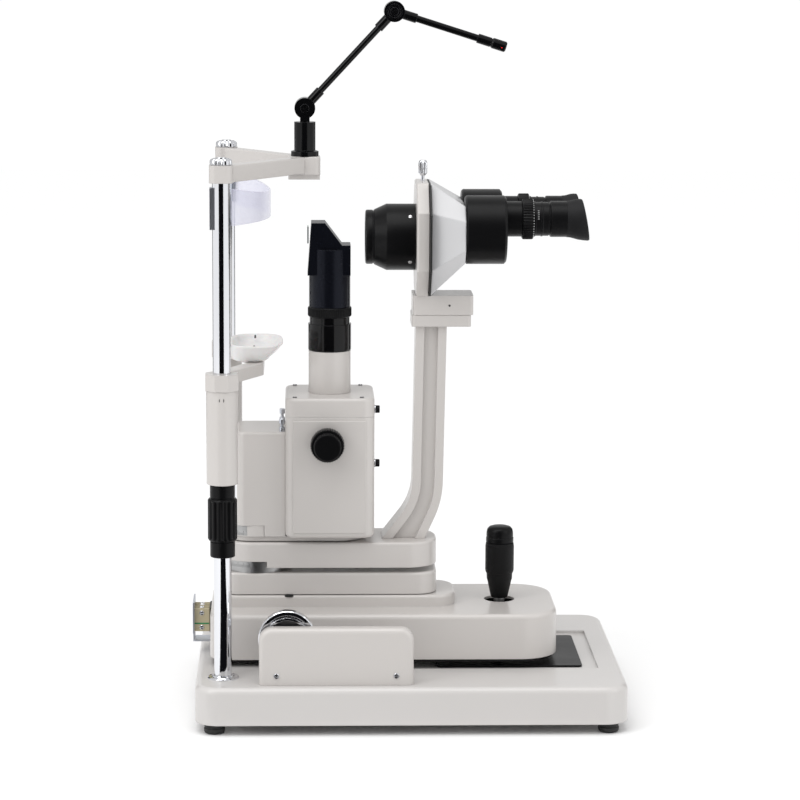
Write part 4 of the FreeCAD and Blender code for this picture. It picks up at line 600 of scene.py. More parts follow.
black_plastic = coated(
    "black_plastic", colour=(0.0045, 0.0045, 0.005), edge_wear_and_highlight=(0.022, 0.022, 0.024),
    edge_width=0.0006, roughness=0.24, relief=0.3, shade=0.8, patchiness=0.16, grain=1500,
    Specular_IOR_Level=0.16,
)
nut_low, nut_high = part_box("chin_height_nut")
nut_tall = (nut_high[2] - nut_low[2]) / MM
nut_profile = [
    (POST + 0.2, 0), (11.0, 0), (11.5, 0.6), (11.5, 13.9), (10.9, 14.5), (10.9, 15.2), (12.6, 15.5),
    (13.5, 17.0, 0.4), (13.5, 19.0, 1.5), (13.5, 51.0, 1.5), (13.5, 53.0, 0.4), (12.6, 54.4),
    (10.9, 54.7), (10.9, 55.4), (11.5, 56.0), (11.5, nut_tall - 0.6), (11.0, nut_tall),
    (POST + 0.2, nut_tall), (POST + 0.2, 0),
]
nut = bmesh.new()
spun(nut, Matrix.Translation((post_x, near_post_y, nut_low[2])), nut_profile, 168, 14, 2.2)
made(nut, "fluted_nut", "height_nut", black_plastic, ["chin_height_nut"])


# ---------------------------------------------------------------------------------------------
# Chin rest: a bent and painted bar between two sleeves that slide on the posts, and a moulded
# white cup with a rolled lip. A steel pin on its rim holds the paper slips.
# ---------------------------------------------------------------------------------------------

chin_plastic = coated(
    "chin_plastic", colour=(0.78, 0.77, 0.765), edge_wear_and_highlight=(0.86, 0.86, 0.86), edge_width=0.0012,
    roughness=0.22, relief=0.08, shade=0.97, patchiness=0.08, Subsurface_Weight=0.08,
    Subsurface_Scale=0.003,
)
dress(cream_paint, "chin_sleeves", "chin_bar")
cup_low, cup_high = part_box("chin_cup")
cup_mid = centre(cup_low, cup_high)
cup_half_x = (cup_high[0] - cup_low[0]) / 2
cup_half_y = (cup_high[1] - cup_low[1]) / 2
CUP_TALL = cup_high[2] - cup_low[2]
# Each level of the cup: share of its height, patient and examiner sides, share of its width.
CUP_LEVELS = (
    (0.0, -0.55, 0.2, 0.5),
    (0.0, -0.8, 0.4, 0.74),
    (0.04, -0.88, 0.47, 0.8),
    (0.25, -0.93, 0.55, 0.86),
    (0.42, -0.95, 0.72, 0.9),
    (0.62, -0.97, 0.84, 0.94),
    (0.84, -0.99, 0.93, 0.98),
    (0.93, -1.0, 1.0, 1.0),
    (0.985, -0.99, 0.99, 0.99),
    (1.0, -0.955, 0.955, 0.97),
    (0.97, -0.9, 0.9, 0.945),
    (0.84, -0.84, 0.82, 0.915),
    (0.66, -0.78, 0.7, 0.87),
    (0.46, -0.68, 0.52, 0.76),
    (0.34, -0.5, 0.32, 0.55),
    (0.30, -0.25, 0.1, 0.28),
)
cup = bmesh.new()
cup_rings = []
CUP_STEPS = 64
for rise, patient, examiner, width in CUP_LEVELS:
    ring = []
    for i in range(CUP_STEPS):
        angle = 2 * math.pi * i / CUP_STEPS
        across, along = math.cos(angle), math.sin(angle)
        square_x = math.copysign(abs(across) ** 0.62, across)
        square_y = math.copysign(abs(along) ** 0.62, along)
        x = (patient + examiner) / 2 + square_x * (examiner - patient) / 2
        dip = 0.10 * max(0, 1 - abs(square_y) * 1.6) * (1 if rise > 0.8 else 0)
        spot = (
            cup_mid.x + x * cup_half_x,
            cup_mid.y + square_y * width * cup_half_y,
            cup_low[2] + (rise - dip * (0.5 + 0.5 * square_x)) * CUP_TALL,
        )
        ring.append(cup.verts.new(spot))
    cup_rings.append(ring)
for lower, upper in zip(cup_rings, cup_rings[1:]):
    for i in range(CUP_STEPS):
        after = (i + 1) % CUP_STEPS
        cup.faces.new((lower[i], lower[after], upper[after], upper[i]))
cup.faces.new(cup_rings[0])
cup.faces.new(cup_rings[-1])
cup_piece = made(cup, "rolled_cup", "chin_rest", chin_plastic, ["chin_cup"], crease=60)
smoother = cup_piece.modifiers.new("smoother", "SUBSURF")
smoother.levels = 1
smoother.render_levels = 1

pins = bmesh.new()
for pin_y in (cup_low[1] + 9 * MM, cup_high[1] - 9 * MM):
    pin_place = Matrix.Translation((cup_mid.x - 1.5 * MM, pin_y, cup_high[2] - 3.4 * MM))
    spun(pins, pin_place, [(0, 0), (0.9, 0), (0.9, 2.6), (0.6, 3.1), (0, 3.1)], 20)
made(pins, "paper_pins", "chin_rest", dark_steel)

bar_screws = bmesh.new()
sleeves_low, sleeves_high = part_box("chin_sleeves")
for sleeve_y, outward in ((sleeves_low[1], -1), (sleeves_high[1], 1)):
    spot = (post_x, sleeve_y - outward * 0.8 * MM, sleeves_high[2] - 7.5 * MM)
    collar_head = [(0, 0), (2.4, 0), (2.4, 0.7), (1.5, 0.7), (1.2, 0.2), (0, 0.2)]
    spun(bar_screws, pointing((0, outward, 0), spot), collar_head, 32)
made(bar_screws, "collar_screws", "chin_rest", dark_steel)


# ---------------------------------------------------------------------------------------------
# Forehead rest: a painted cast bow clamped on the posts, and a clear plastic strip that springs
# between two chromed clips. Each clip has two round headed screws; each clamp has a set screw.
# ---------------------------------------------------------------------------------------------

dress(cream_paint, "brow_bow")
bent_zinc = bare_metal("bent_zinc", (0.72, 0.75, 0.81), 0.28, 0.15, 120, (1, 1, 0.2), 0.15)
dress(bent_zinc, "band_clips")
clear_strip = skinned(
    "clear_strip", (0.80, 0.80, 0.93), 0.12, shade=0.98, patchiness=0.12, grain=300
)[0]
strip_tree = clear_strip.node_tree
strip_shader = strip_tree.nodes["Principled BSDF"]
strip_edge = strip_tree.nodes.new("ShaderNodeLayerWeight")
strip_edge.inputs["Blend"].default_value = 0.35
strip_body = strip_tree.nodes.new("ShaderNodeMapRange")
strip_body.inputs["To Min"].default_value = 0.3
strip_body.inputs["To Max"].default_value = 0.75
strip_tree.links.new(strip_edge.outputs["Facing"], strip_body.inputs["Value"])
strip_tree.links.new(strip_body.outputs["Result"], strip_shader.inputs["Alpha"])
dress(clear_strip, "forehead_band")

clips_low, clips_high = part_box("band_clips")
bow_low, bow_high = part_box("brow_bow")
bow_screws = bmesh.new()
for side_y, outward in ((clips_low[1], -1), (clips_high[1], 1)):
    for screw_z in (clips_low[2] + 11.5 * MM, clips_high[2] - 10.5 * MM):
        spot = (clips_low[0] + 2.4 * MM, side_y - outward * 0.1 * MM, screw_z)
        head = [(0, -1.2), (2.3, -1.2), (2.3, -0.6), (1.6, -0.1), (0, 0)]
        spun(bow_screws, pointing((0, outward, 0), spot), head, 28)
for bow_y in (near_post_y, far_post_y):
    spot = (bow_low[0] + 1.0 * MM, bow_y, (post_top + bow_high[2]) / 2 - 8 * MM)
    set_screw = [(0, -1), (2.2, -1), (2.2, 0.3), (1.4, 1.0), (0, 1.0)]
    spun(bow_screws, pointing((-1, 0, 0), spot), set_screw, 28)
made(bow_screws, "bow_screws", "base", dark_steel)


# ---------------------------------------------------------------------------------------------
# Fixation lamp: thin glossy black rods with flat disc elbows, clamped by a ringed screw on each
# side, and a small red lamp set in the tip.
# ---------------------------------------------------------------------------------------------

gloss_black = coated(
    "gloss_black", colour=(0.003, 0.003, 0.0035), edge_wear_and_highlight=(0.015, 0.015, 0.017),
    edge_width=0.0009, roughness=0.12, relief=0.08, grain=500, Specular_IOR_Level=0.1,
    Coat_Weight=0.35, Coat_Roughness=0.05,
)
arm_black = bare_metal("arm_black", (0.06, 0.06, 0.065), 0.2, 0.15, 240, (1, 1, 1), 0.1)
dress(gloss_black, "fixation_socket", "fixation_stem", "fixation_lower_arm", "fixation_upper_arm")
stem_low, stem_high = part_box("fixation_stem")
upper_low, upper_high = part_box("fixation_upper_arm")
lower_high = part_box("fixation_lower_arm")[1]
ELBOW = 9.75
ring_profile = [
    (0, 0.0), (7.2, 0.0), (7.2, 0.5), (5.6, 0.5), (5.2, 0.15), (4.4, 0.15), (4.0, 0.8), (0, 0.8),
]
socket_low, socket_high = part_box("fixation_socket")
socket_mid = centre(socket_low, socket_high)
first_elbow = Vector((socket_mid.x, 0, stem_high[2] - ELBOW * MM))
second_elbow = Vector((lower_high[0] - ELBOW * MM, 0, lower_high[2] - ELBOW * MM))
FACE_SINK = 0.6 * MM
for elbow_name, elbow, face_y, direction, body in (
    ("stem_ring", first_elbow, stem_low[1], -1, "fixation_swivel"),
    ("lower_ring", first_elbow, lower_high[1], 1, "fixation_lower"),
    ("middle_ring", second_elbow, lower_high[1], 1, "fixation_lower"),
    ("upper_ring", second_elbow, upper_low[1], -1, "fixation_upper"),
):
    ring_work = bmesh.new()
    spot = (elbow.x, face_y - direction * FACE_SINK, elbow.z)
    spun(ring_work, pointing((0, direction, 0), spot), ring_profile, 56)
    made(ring_work, elbow_name, body, arm_black)

lamp_red = skinned(
    "lamp_red",
    (0.75, 0.015, 0.02),
    0.1,
    shade=0.8,
    Emission_Color=(1, 0.03, 0.03, 1),
    Emission_Strength=0.35,
)[0]
red_lamp = bmesh.new()
TIP_INSET = 5.2 * MM
red_spot = (upper_high[0] - TIP_INSET, upper_low[1] + 0.5 * MM, upper_low[2] + TIP_INSET)
red_place = pointing((0, -1, 0), red_spot)
spun(red_lamp, red_place, [(0, -0.8), (1.7, -0.8), (1.7, -0.2), (1.2, 0.3), (0, 0.45)], 28)
made(red_lamp, "red_lamp", "fixation_upper", lamp_red)


# ---------------------------------------------------------------------------------------------
# Carriage: a painted cover with a raised stage, over a black enamelled deck. Bronze axle bushes
# and the lift's guide and screw stand on the deck; a rubber plug sits at each edge of the stage.
# ---------------------------------------------------------------------------------------------

dress(cream_paint, "carriage_cover")
dress(gloss_black, "carriage_deck")
dress(black_plastic, "glide_plate")
bronze = bare_metal("bronze", (0.55, 0.36, 0.16), 0.3, 0.2, 200, (1, 1, 1), 0.2)
dress(bronze, "axle_bushes")
dress(ground_steel, "lift_guide", "gimbal_ring", "joystick_sleeve", "joystick_shaft")
stage_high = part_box("carriage_cover")[1]
lock_plugs = bmesh.new()
for outward in (-1, 1):
    plug_place = Matrix.Translation((-0.1135, outward * 0.0345, stage_high[2] - 1.2 * MM))
    flat = Matrix.Diagonal((1, 0.62, 1, 1))
    plug_profile = [(0, 0), (4.2, 0), (4.2, 1.3), (3.4, 1.6), (2.6, 1.35), (0, 1.3)]
    spun(lock_plugs, plug_place @ flat, plug_profile, 40)
made(lock_plugs, "lock_plugs", "carriage", foot_rubber)
bright_spring = bare_metal("bright_spring", (0.5, 0.5, 0.52), 0.18, 0.2, 300, (1, 1, 1), 0.15)
dress(bright_spring, "lift_spring")
thread_steel = bare_metal("thread_steel", (0.5, 0.5, 0.5), 0.25, 0.15, 900, (0.05, 0.05, 1), 0.9)
dress(thread_steel, "lift_screw")


# ---------------------------------------------------------------------------------------------
# Joystick: a moulded black grip with a fine diamond knurl on its body, a tapered foot and a
# domed cap that turns under the thumb.
# ---------------------------------------------------------------------------------------------

grip_low, grip_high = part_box("joystick_grip")
grip_mid = centre(grip_low, grip_high)
grip_tall = (grip_high[2] - grip_low[2]) / MM
GRIP = (grip_high[0] - grip_low[0]) / 2 / MM
knurled_black = skinned(
    "knurled_black",
    (0.006, 0.006, 0.0065),
    0.34,
    shade=0.8,
    patchiness=0.14,
    grain=1500,
    Specular_IOR_Level=0.16,
)[0]
knurl_tree = knurled_black.node_tree

# Knurl: crossed helical grooves round a vertical axis that is given.
knurl, given, put = node_group(
    "knurl",
    [("Axis", DIRECTION, (0, 0, 0)), ("Teeth", NUMBER, 60.0), ("Slant", NUMBER, 4000.0)],
    [("Height", NUMBER)],
)
knurl_space = knurl.nodes.new("ShaderNodeTexCoord")
from_axis = knurl.nodes.new("ShaderNodeVectorMath")
from_axis.operation = "SUBTRACT"
knurl.links.new(knurl_space.outputs["Object"], from_axis.inputs[0])
knurl.links.new(given.outputs["Axis"], from_axis.inputs[1])
parts_of = knurl.nodes.new("ShaderNodeSeparateXYZ")
knurl.links.new(from_axis.outputs["Vector"], parts_of.inputs["Vector"])
around = math_in(knurl, "ARCTAN2", parts_of.outputs["Y"], parts_of.outputs["X"])
teeth_round = math_in(knurl, "MULTIPLY", around, given.outputs["Teeth"])
up_slant = math_in(knurl, "MULTIPLY", parts_of.outputs["Z"], given.outputs["Slant"])
one_way = math_in(knurl, "SINE", math_in(knurl, "ADD", teeth_round, up_slant), 0.0)
other_way = math_in(knurl, "SINE", math_in(knurl, "SUBTRACT", teeth_round, up_slant), 0.0)
knurl.links.new(math_in(knurl, "MULTIPLY", one_way, other_way), put.inputs["Height"])

knurl_lines = group_in(knurl_tree, knurl, Axis=(grip_mid.x, grip_mid.y, 0), Teeth=48.0, Slant=3600.0)
relief_in(knurl_tree, knurl_lines.outputs["Height"], 0.5, 0.0003)

grip_profile = [
    (4.0, 0), (7.6, 0), (8.2, 0.8), (11.6, 16.5), (12.2, 18.2), (12.4, 23.5), (13.0, 24.2),
    (13.4, 25.2), (GRIP, 27.0), (GRIP, 50.0), (13.3, 53.0), (13.0, 53.4), (4.0, 53.4), (4.0, 0),
]
grip = bmesh.new()
grip_place = Matrix.Translation((grip_mid.x, grip_mid.y, grip_low[2]))
spun(grip, grip_place, grip_profile, 96)
made(grip, "knurled_grip", "stick", knurled_black, ["joystick_grip"])
cap_profile = [
    (0, 52.5), (12.2, 52.5), (12.3, 54.0), (13.2, 54.4), (13.2, 58.4), (12.6, 58.8), (12.6, 59.6),
    (12.9, 60.0), (12.7, 64.0), (12.0, 66.6), (10.2, 68.6), (7.0, 69.6), (3.0, grip_tall - 0.1),
    (0, grip_tall),
]
grip_cap = bmesh.new()
spun(grip_cap, grip_place, cap_profile, 96)
made(grip_cap, "grip_cap", "stick", black_plastic)


# ---------------------------------------------------------------------------------------------
# Terminal: at the carriage's patient end a bent zinc plated bracket holds a khaki moulded block
# with a green line, slotted screws in its top and side, and a dark insulating sheet behind it.
# ---------------------------------------------------------------------------------------------

khaki_plastic = coated(
    "khaki_plastic", colour=(0.50, 0.44, 0.29), edge_wear_and_highlight=(0.6, 0.55, 0.4), edge_width=0.0005,
    roughness=0.4, patchiness=0.15,
)
green_wire = coated(
    "green_wire", colour=(0.03, 0.25, 0.09), edge_wear_and_highlight=(0.06, 0.3, 0.12), edge_width=0.0003,
    roughness=0.3, relief=0.05, shade=0.8,
)
dress(bent_zinc, "terminal_bracket")


def block(work, low, high):
    """A rectangular body between two corners."""
    middle, size = centre(low, high), Vector(high) - Vector(low)
    bmesh.ops.create_cube(
        work, size=1, matrix=Matrix.Translation(middle) @ Matrix.Diagonal((*size, 1))
    )


def mm(x, y, z):
    return Vector((x, y, z)) * MM


block_low, block_high = corners("terminal_block")
khaki = bmesh.new()
block(khaki, block_low + mm(0, 0, 1), block_high - mm(1.5, 0, 1))
for rib in range(4):
    rib_y = block_low.y + (rib + 1) * (block_high.y - block_low.y) / 5
    rib_low = Vector((block_low.x, rib_y - 0.6 * MM, block_high.z - 1.2 * MM))
    rib_high = Vector((block_high.x - 1.5 * MM, rib_y + 0.6 * MM, block_high.z))
    block(khaki, rib_low, rib_high)
made(khaki, "khaki_block", "carriage", khaki_plastic, ["terminal_block"], 0.5)
insulation = bmesh.new()
block(insulation, block_high - mm(1.5, 30, 24), block_high)
made(insulation, "insulating_sheet", "carriage", black_plastic, bevel=0.2)
wires = bmesh.new()
wire_z = block_low.z + 8 * MM
block(
    wires,
    Vector((block_low.x - 0.3 * MM, block_low.y - 0.3 * MM, wire_z)),
    Vector((block_high.x - 2 * MM, block_low.y + 1.2 * MM, wire_z + 1.6 * MM)),
)
made(wires, "green_line", "carriage", green_wire, bevel=0.5)
terminal_screws = bmesh.new()
for share in (0.22, 0.5, 0.78):
    screw_y = block_low.y + share * (block_high.y - block_low.y)
    spot = ((block_low.x + block_high.x) / 2 - 1 * MM, screw_y, block_high.z - 1.1 * MM)
    screw_head(terminal_screws, pointing((0, 0, 1), spot), 2.6, 1.1, 1)
for screw_z in (block_low.z + 5 * MM, block_high.z - 5 * MM):
    spot = ((block_low.x + block_high.x) / 2 - 1 * MM, block_low.y + 0.2 * MM, screw_z)
    screw_head(terminal_screws, pointing((0, -1, 0), spot), 2.3, 1.2, 1)
made(terminal_screws, "terminal_screws", "carriage", chrome_plate)


# ---------------------------------------------------------------------------------------------
# Lift: a painted block rises on the joystick's screw. The swing post's ground steel flange is
# engraved with a degree scale, and so is the half ring that the lamp arm carries above it.
# ---------------------------------------------------------------------------------------------

brushed_steel = bare_metal("brushed_steel", (0.42, 0.42, 0.42), 0.2, 0.2, 190, (0.15, 0.15, 3), 0.3)
dress(cream_paint, "lift_block")
dress(brushed_steel, "swing_post")
engraving_black = coated(
    "engraving_black", colour=(0.02, 0.02, 0.022), edge_wear_and_highlight=(0.03, 0.03, 0.03),
    edge_width=0.0001, roughness=0.5, relief=0.05, shade=0.8,
)
swing_low, swing_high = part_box("swing_post")
swing_mid = centre(swing_low, swing_high)
HUB = (swing_high[0] - swing_low[0]) / 2 / MM


def scale_lines(work, place, radius, foot, angles, long_line, short_line, every=5):
    """Engraved lines round a cylinder: each is a sliver that stands 0.04 mm proud."""
    for i, angle in enumerate(angles):
        tall = long_line if i % every == 0 else short_line
        turn = place @ Matrix.Rotation(math.radians(angle), 4, "Z")
        sliver = Matrix.Translation((radius * MM, 0, (foot + tall / 2) * MM))
        thin = Matrix.Diagonal((0.08 * MM, 0.24 * MM, tall * MM, 1))
        bmesh.ops.create_cube(work, size=1, matrix=turn @ sliver @ thin)


swing_scale = bmesh.new()
swing_place = Matrix.Translation((swing_mid.x, swing_mid.y, 0))
scale_lines(swing_scale, swing_place, HUB, 133.2, range(100, 261, 2), 4.2, 2.4)
made(swing_scale, "swing_scale", "lift", engraving_black)

band = bmesh.new()
band_angles = [math.radians(angle) for angle in range(104, 257, 4)]
band_rows = []
for radius, height in ((HUB - 0.5, 164.0), (HUB + 0.12, 164.0), (HUB + 0.12, 173.0), (HUB - 0.5, 173.0)):
    row = []
    for angle in band_angles:
        spot = mm(radius * math.cos(angle), radius * math.sin(angle), height)
        row.append(band.verts.new(swing_place @ spot))
    band_rows.append(row)
for lower, upper in zip(band_rows, band_rows[1:] + band_rows[:1]):
    for i in range(len(band_angles) - 1):
        band.faces.new((lower[i], lower[i + 1], upper[i + 1], upper[i]))
band.faces.new([row[0] for row in band_rows])
band.faces.new([row[-1] for row in band_rows])
made(band, "lamp_scale_band", "illumination", brushed_steel)
lamp_scale = bmesh.new()
scale_lines(lamp_scale, swing_place, HUB + 0.12, 164.4, range(110, 251, 2), 4.0, 2.2)
made(lamp_scale, "lamp_scale", "illumination", engraving_black)


# ---------------------------------------------------------------------------------------------
# Microscope stand: a cast arm, a curved column with raised rims, and the platform and plate that
# carry the optics. All are powder coated; a black sheet in the gap between the plate and the
# hood is painted shadow.
# ---------------------------------------------------------------------------------------------

dress(cream_paint, "microscope_arm", "microscope_column", "microscope_platform", "mount_plate")
plate_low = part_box("mount_plate")[0]
pale_paint = coated(
    "pale_paint", colour=(0.60, 0.60, 0.61), edge_wear_and_highlight=(0.70, 0.70, 0.71), edge_width=0.0025,
    roughness=0.3, relief=0.14, shade=0.97, grain=560, Coat_Weight=0.25, Coat_Roughness=0.2,
)
dress(pale_paint, "microscope_hood")
hood_low, hood_high = corners("microscope_hood")
# A thin black sheet just inside the hood's outline fills the gap to the plate: painted shadow.
SHADOW_SHEET_INSET = 1.2 * MM
PLATE_CHAMFER = 26 * MM
shadow_sheet = bmesh.new()
shadow_sheet_faces = []
for face_x in (hood_low.x - 1.4 * MM, hood_low.x + 0.3 * MM):
    left, right = hood_low.y + SHADOW_SHEET_INSET, hood_high.y - SHADOW_SHEET_INSET
    foot, peak = hood_low.z + SHADOW_SHEET_INSET, hood_high.z - SHADOW_SHEET_INSET
    cut = PLATE_CHAMFER
    outline = [
        (left + cut, foot), (right - cut, foot), (right, foot + cut), (right, peak - cut),
        (right - cut, peak), (left + cut, peak), (left, peak - cut), (left, foot + cut),
    ]
    shadow_sheet_faces.append([shadow_sheet.verts.new((face_x, y, z)) for y, z in outline])
for i in range(8):
    j = (i + 1) % 8
    shadow_sheet.faces.new((shadow_sheet_faces[0][i], shadow_sheet_faces[0][j], shadow_sheet_faces[1][j], shadow_sheet_faces[1][i]))
shadow_sheet.faces.new(shadow_sheet_faces[0])
shadow_sheet.faces.new(shadow_sheet_faces[1])
made(shadow_sheet, "hood_shadow_sheet", "microscope", foot_rubber, bevel=0.3)

thumb_low, thumb_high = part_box("plate_thumb_screw")
thumb_mid = centre(thumb_low, thumb_high)
thumb_tall = (thumb_high[2] - thumb_low[2]) / MM
thumb_profile = [
    (0, 0), (1.7, 0), (1.7, 5.2), (2.6, 5.6), (4.0, 7.4), (4.2, 8.4, 0.5),
    (4.2, thumb_tall - 3.0, 0.5), (3.6, thumb_tall - 1.2, 0.2), (2.6, thumb_tall - 0.2),
    (0, thumb_tall),
]
thumb = bmesh.new()
thumb_place = Matrix.Translation((thumb_mid.x, thumb_mid.y, thumb_low[2]))
spun(thumb, thumb_place, thumb_profile, 96, 16)
made(thumb, "fluted_thumb_screw", "plate_screw", chrome_plate, ["plate_thumb_screw"])

block_screw = bmesh.new()
platform_low, platform_high = corners("microscope_platform")
for block_y, outward in ((platform_low.y, -1), (platform_high.y, 1)):
    place = pointing((0, outward, 0), (plate_low[0] + 34.5 * MM, block_y, platform_high.z + 9 * MM))
    spun(block_screw, place, [(0, -1), (1.0, -1), (1.0, 0.2), (0.6, 0.2), (0.4, 0), (0, 0)], 20)
made(block_screw, "platform_set_screws", "microscope", dark_steel)


# ---------------------------------------------------------------------------------------------
# Objective: a turned aluminium barrel in black enamel with a rolled front flange, held to the
# plate by slotted white screws, round a large coated lens.
# ---------------------------------------------------------------------------------------------

black_enamel = coated(
    "black_enamel", colour=(0.004, 0.004, 0.0045), edge_wear_and_highlight=(0.02, 0.02, 0.022),
    edge_width=0.0009, roughness=0.27, patchiness=0.12, grain=1300, Specular_IOR_Level=0.16,
)
objective_low, objective_high = corners("objective_housing")
objective_mid = centre(objective_low, objective_high)
lens_low, lens_high = corners("objective_lens")
OBJECTIVE = (objective_high.z - objective_low.z) / 2 / MM
LONG = (objective_high.x - objective_low.x) / MM
LENS = (lens_high.z - lens_low.z) / 2 / MM
objective_place = pointing((-1, 0, 0), (objective_high.x, objective_mid.y, objective_mid.z))
lens_back = (objective_high.x - lens_high.x) / MM
lens_front = (objective_high.x - lens_low.x) / MM
objective_profile = [
    (LENS - 3, 0), (OBJECTIVE - 0.5, 0), (OBJECTIVE, 0.5), (OBJECTIVE, 27.3),
    (OBJECTIVE - 0.3, 27.9), (26.0, 38.7), (25.0, 39.3), (24.9, 40.0), (25.6, 40.6),
    (25.6, LONG - 1.4), (25.0, LONG - 0.4), (23.6, LONG), (21.6, LONG - 0.5),
    (LENS + 0.9, LONG - 2.6), (LENS + 0.1, LONG - 2.8), (LENS + 0.1, lens_back),
    (LENS - 3, lens_back), (LENS - 3, 0),
]
objective = bmesh.new()
spun(objective, objective_place, objective_profile, 128)
made(objective, "objective_barrel", "microscope", black_enamel, ["objective_housing"])

coated_glass = skinned(
    "coated_glass",
    (0.02, 0.035, 0.05),
    0.02,
    shade=0.7,
    patchiness=0.03,
    grain=300,
    Coat_Weight=1,
    Coat_Roughness=0.02,
    Coat_Tint=(0.55, 0.8, 0.65, 1),
)[0]
lens = bmesh.new()
lens_profile = [(0, lens_back), (LENS, lens_back), (LENS, lens_back + 2.5)]
for step in range(1, 9):
    share = step / 8
    bulge = lens_back + 2.5 + (lens_front - lens_back - 2.5) * math.sin(share * math.pi / 2)
    lens_profile.append((LENS * math.cos(share * math.pi / 2) if step < 8 else 0, bulge))
spun(lens, objective_place, lens_profile, 96)
made(lens, "domed_lens", "microscope", coated_glass, ["objective_lens"])

white_zinc = bare_metal("white_zinc", (0.86, 0.86, 0.87), 0.3, 0.15, 300, (1, 1, 1), 0.15)
objective_screws = bmesh.new()
for screw_angle in (47, 133, 227, 313):
    turn = math.radians(screw_angle)
    outward = Vector((0, -math.sin(turn), math.cos(turn)))
    spot = Vector((objective_high.x - 5.5 * MM, objective_mid.y, objective_mid.z))
    screw_head(objective_screws, pointing(outward, spot + outward * (OBJECTIVE - 0.4) * MM), 1.8, 1.0, 1)
made(objective_screws, "objective_screws", "microscope", white_zinc)


# ---------------------------------------------------------------------------------------------
# Eyepieces: two prism drums in satin black carry tubes with a ribbed dioptre ring, a stepped
# barrel, and a soft winged eyecup that is longer on its lower side.
# ---------------------------------------------------------------------------------------------

dress(black_enamel, "prism_housing_left", "prism_housing_right")
# White: the printed dioptre index, and painted highlights on the ends of the ring's ribs.
white_print_and_highlight = coated(
    "white_print_and_highlight", colour=(0.8, 0.8, 0.8), edge_wear_and_highlight=(0.8, 0.8, 0.8), edge_width=0.0001,
    roughness=0.5, relief=0.05, shade=0.9,
)
EYE_BORE = 9.0
dioptre_profile = [
    (EYE_BORE, 0), (17.4, 0), (18.4, 0.5), (19.0, 1.2, 0.9), (19.0, 9.6, 0.9), (18.4, 10.4),
    (17.4, 10.8), (16.4, 11.0), (16.4, 12.4), (15.8, 12.8), (15.8, 17.5), (16.3, 17.8),
    (16.3, 19.2), (15.8, 19.5), (15.8, 24.8), (15.2, 25.1), (15.2, 26.0), (16.2, 26.4),
    (16.8, 27.2), (16.8, 46.4), (EYE_BORE, 46.4), (EYE_BORE, 0),
]
eyecup_profile = [
    (EYE_BORE, 42.0), (17.0, 42.0), (17.2, 45.0), (17.8, 48.0), (18.6, 52.0), (18.9, 57.0),
    (18.8, 60.5), (18.1, 61.6), (17.2, 61.2), (16.4, 58.5), (14.6, 54.0), (13.2, 51.5),
    (11.0, 50.6), (EYE_BORE, 50.4), (EYE_BORE, 42.0),
]
soft_rubber = coated(
    "soft_rubber", colour=(0.009, 0.009, 0.010), edge_wear_and_highlight=(0.03, 0.03, 0.032), edge_width=0.0008,
    roughness=0.5, relief=0.35, patchiness=0.15, grain=1600, Specular_IOR_Level=0.25,
)
for side_name in ("left", "right"):
    cad_name = "eyepiece_" + side_name
    body = "ocular_" + side_name
    eye_low, eye_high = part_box(cad_name)
    eye_mid = centre(eye_low, eye_high)
    eye_place = pointing((1, 0, 0), (eye_low[0], eye_mid.y, eye_mid.z))
    barrel = bmesh.new()
    spun(barrel, eye_place, dioptre_profile, 176, 44)
    made(barrel, "barrel_" + side_name, body, black_plastic, [cad_name])
    rubber = bmesh.new()
    spun(rubber, eye_place, eyecup_profile, 96)
    for vert in rubber.verts:
        beyond = vert.co.x - (eye_low[0] + 46 * MM)
        if beyond > 0:
            share = beyond / (15.6 * MM)
            down = (eye_mid.z - vert.co.z) / (19 * MM)
            vert.co.x += share * (down * 3.6 - 1.6) * MM
            vert.co.z -= share * max(0.0, down) * 1.6 * MM
    made(rubber, "eyecup_" + side_name, body, soft_rubber)
    index_and_rib_highlights = bmesh.new()
    # 44 white bumps round the ring's edge, one per rib: painted highlights on the ribs' ends.
    for i in range(44):
        turn = 2 * math.pi * i / 44
        outward = Vector((0, -math.sin(turn), math.cos(turn)))
        axis_point = Vector((eye_low[0] + 10.25 * MM, eye_mid.y, eye_mid.z))
        place = pointing(outward, axis_point + outward * 18.35 * MM)
        spun(index_and_rib_highlights, place, [(0, 0), (0.42, 0), (0.3, 0.3), (0, 0.34)], 8)
    # Five slabs: the printed dioptre index.
    index_place = pointing((0, -0.94, 0.34), (eye_low[0] + 14.8 * MM, eye_mid.y, eye_mid.z))
    for i in range(5):
        place = index_place @ Matrix.Rotation(math.radians(-14 + 7 * i), 4, "X")
        thin = Matrix.Translation((0, 0, 15.8 * MM)) @ Matrix.Diagonal((1.6 * MM, 0.3 * MM, 0.1 * MM, 1))
        bmesh.ops.create_cube(index_and_rib_highlights, size=1, matrix=place @ thin)
    made(index_and_rib_highlights, "dioptre_index_and_rib_highlights_" + side_name, body, white_print_and_highlight)
    eye_lens = bmesh.new()
    glass_edge = EYE_BORE + 0.2
    dome = [
        (0, 46), (glass_edge, 46), (glass_edge, 48), (7.6, 48.9), (5.2, 49.7), (2.6, 50.2),
        (0, 50.4),
    ]
    spun(eye_lens, eye_place, dome, 64)
    made(eye_lens, "eye_lens_" + side_name, body, coated_glass)


# ---------------------------------------------------------------------------------------------
# Lamp housing: a folded steel box in powder coat with inset cover plates, a cap held by four
# screws, and two knurled thumb screws on the examiner's side for changing the bulb.
# ---------------------------------------------------------------------------------------------

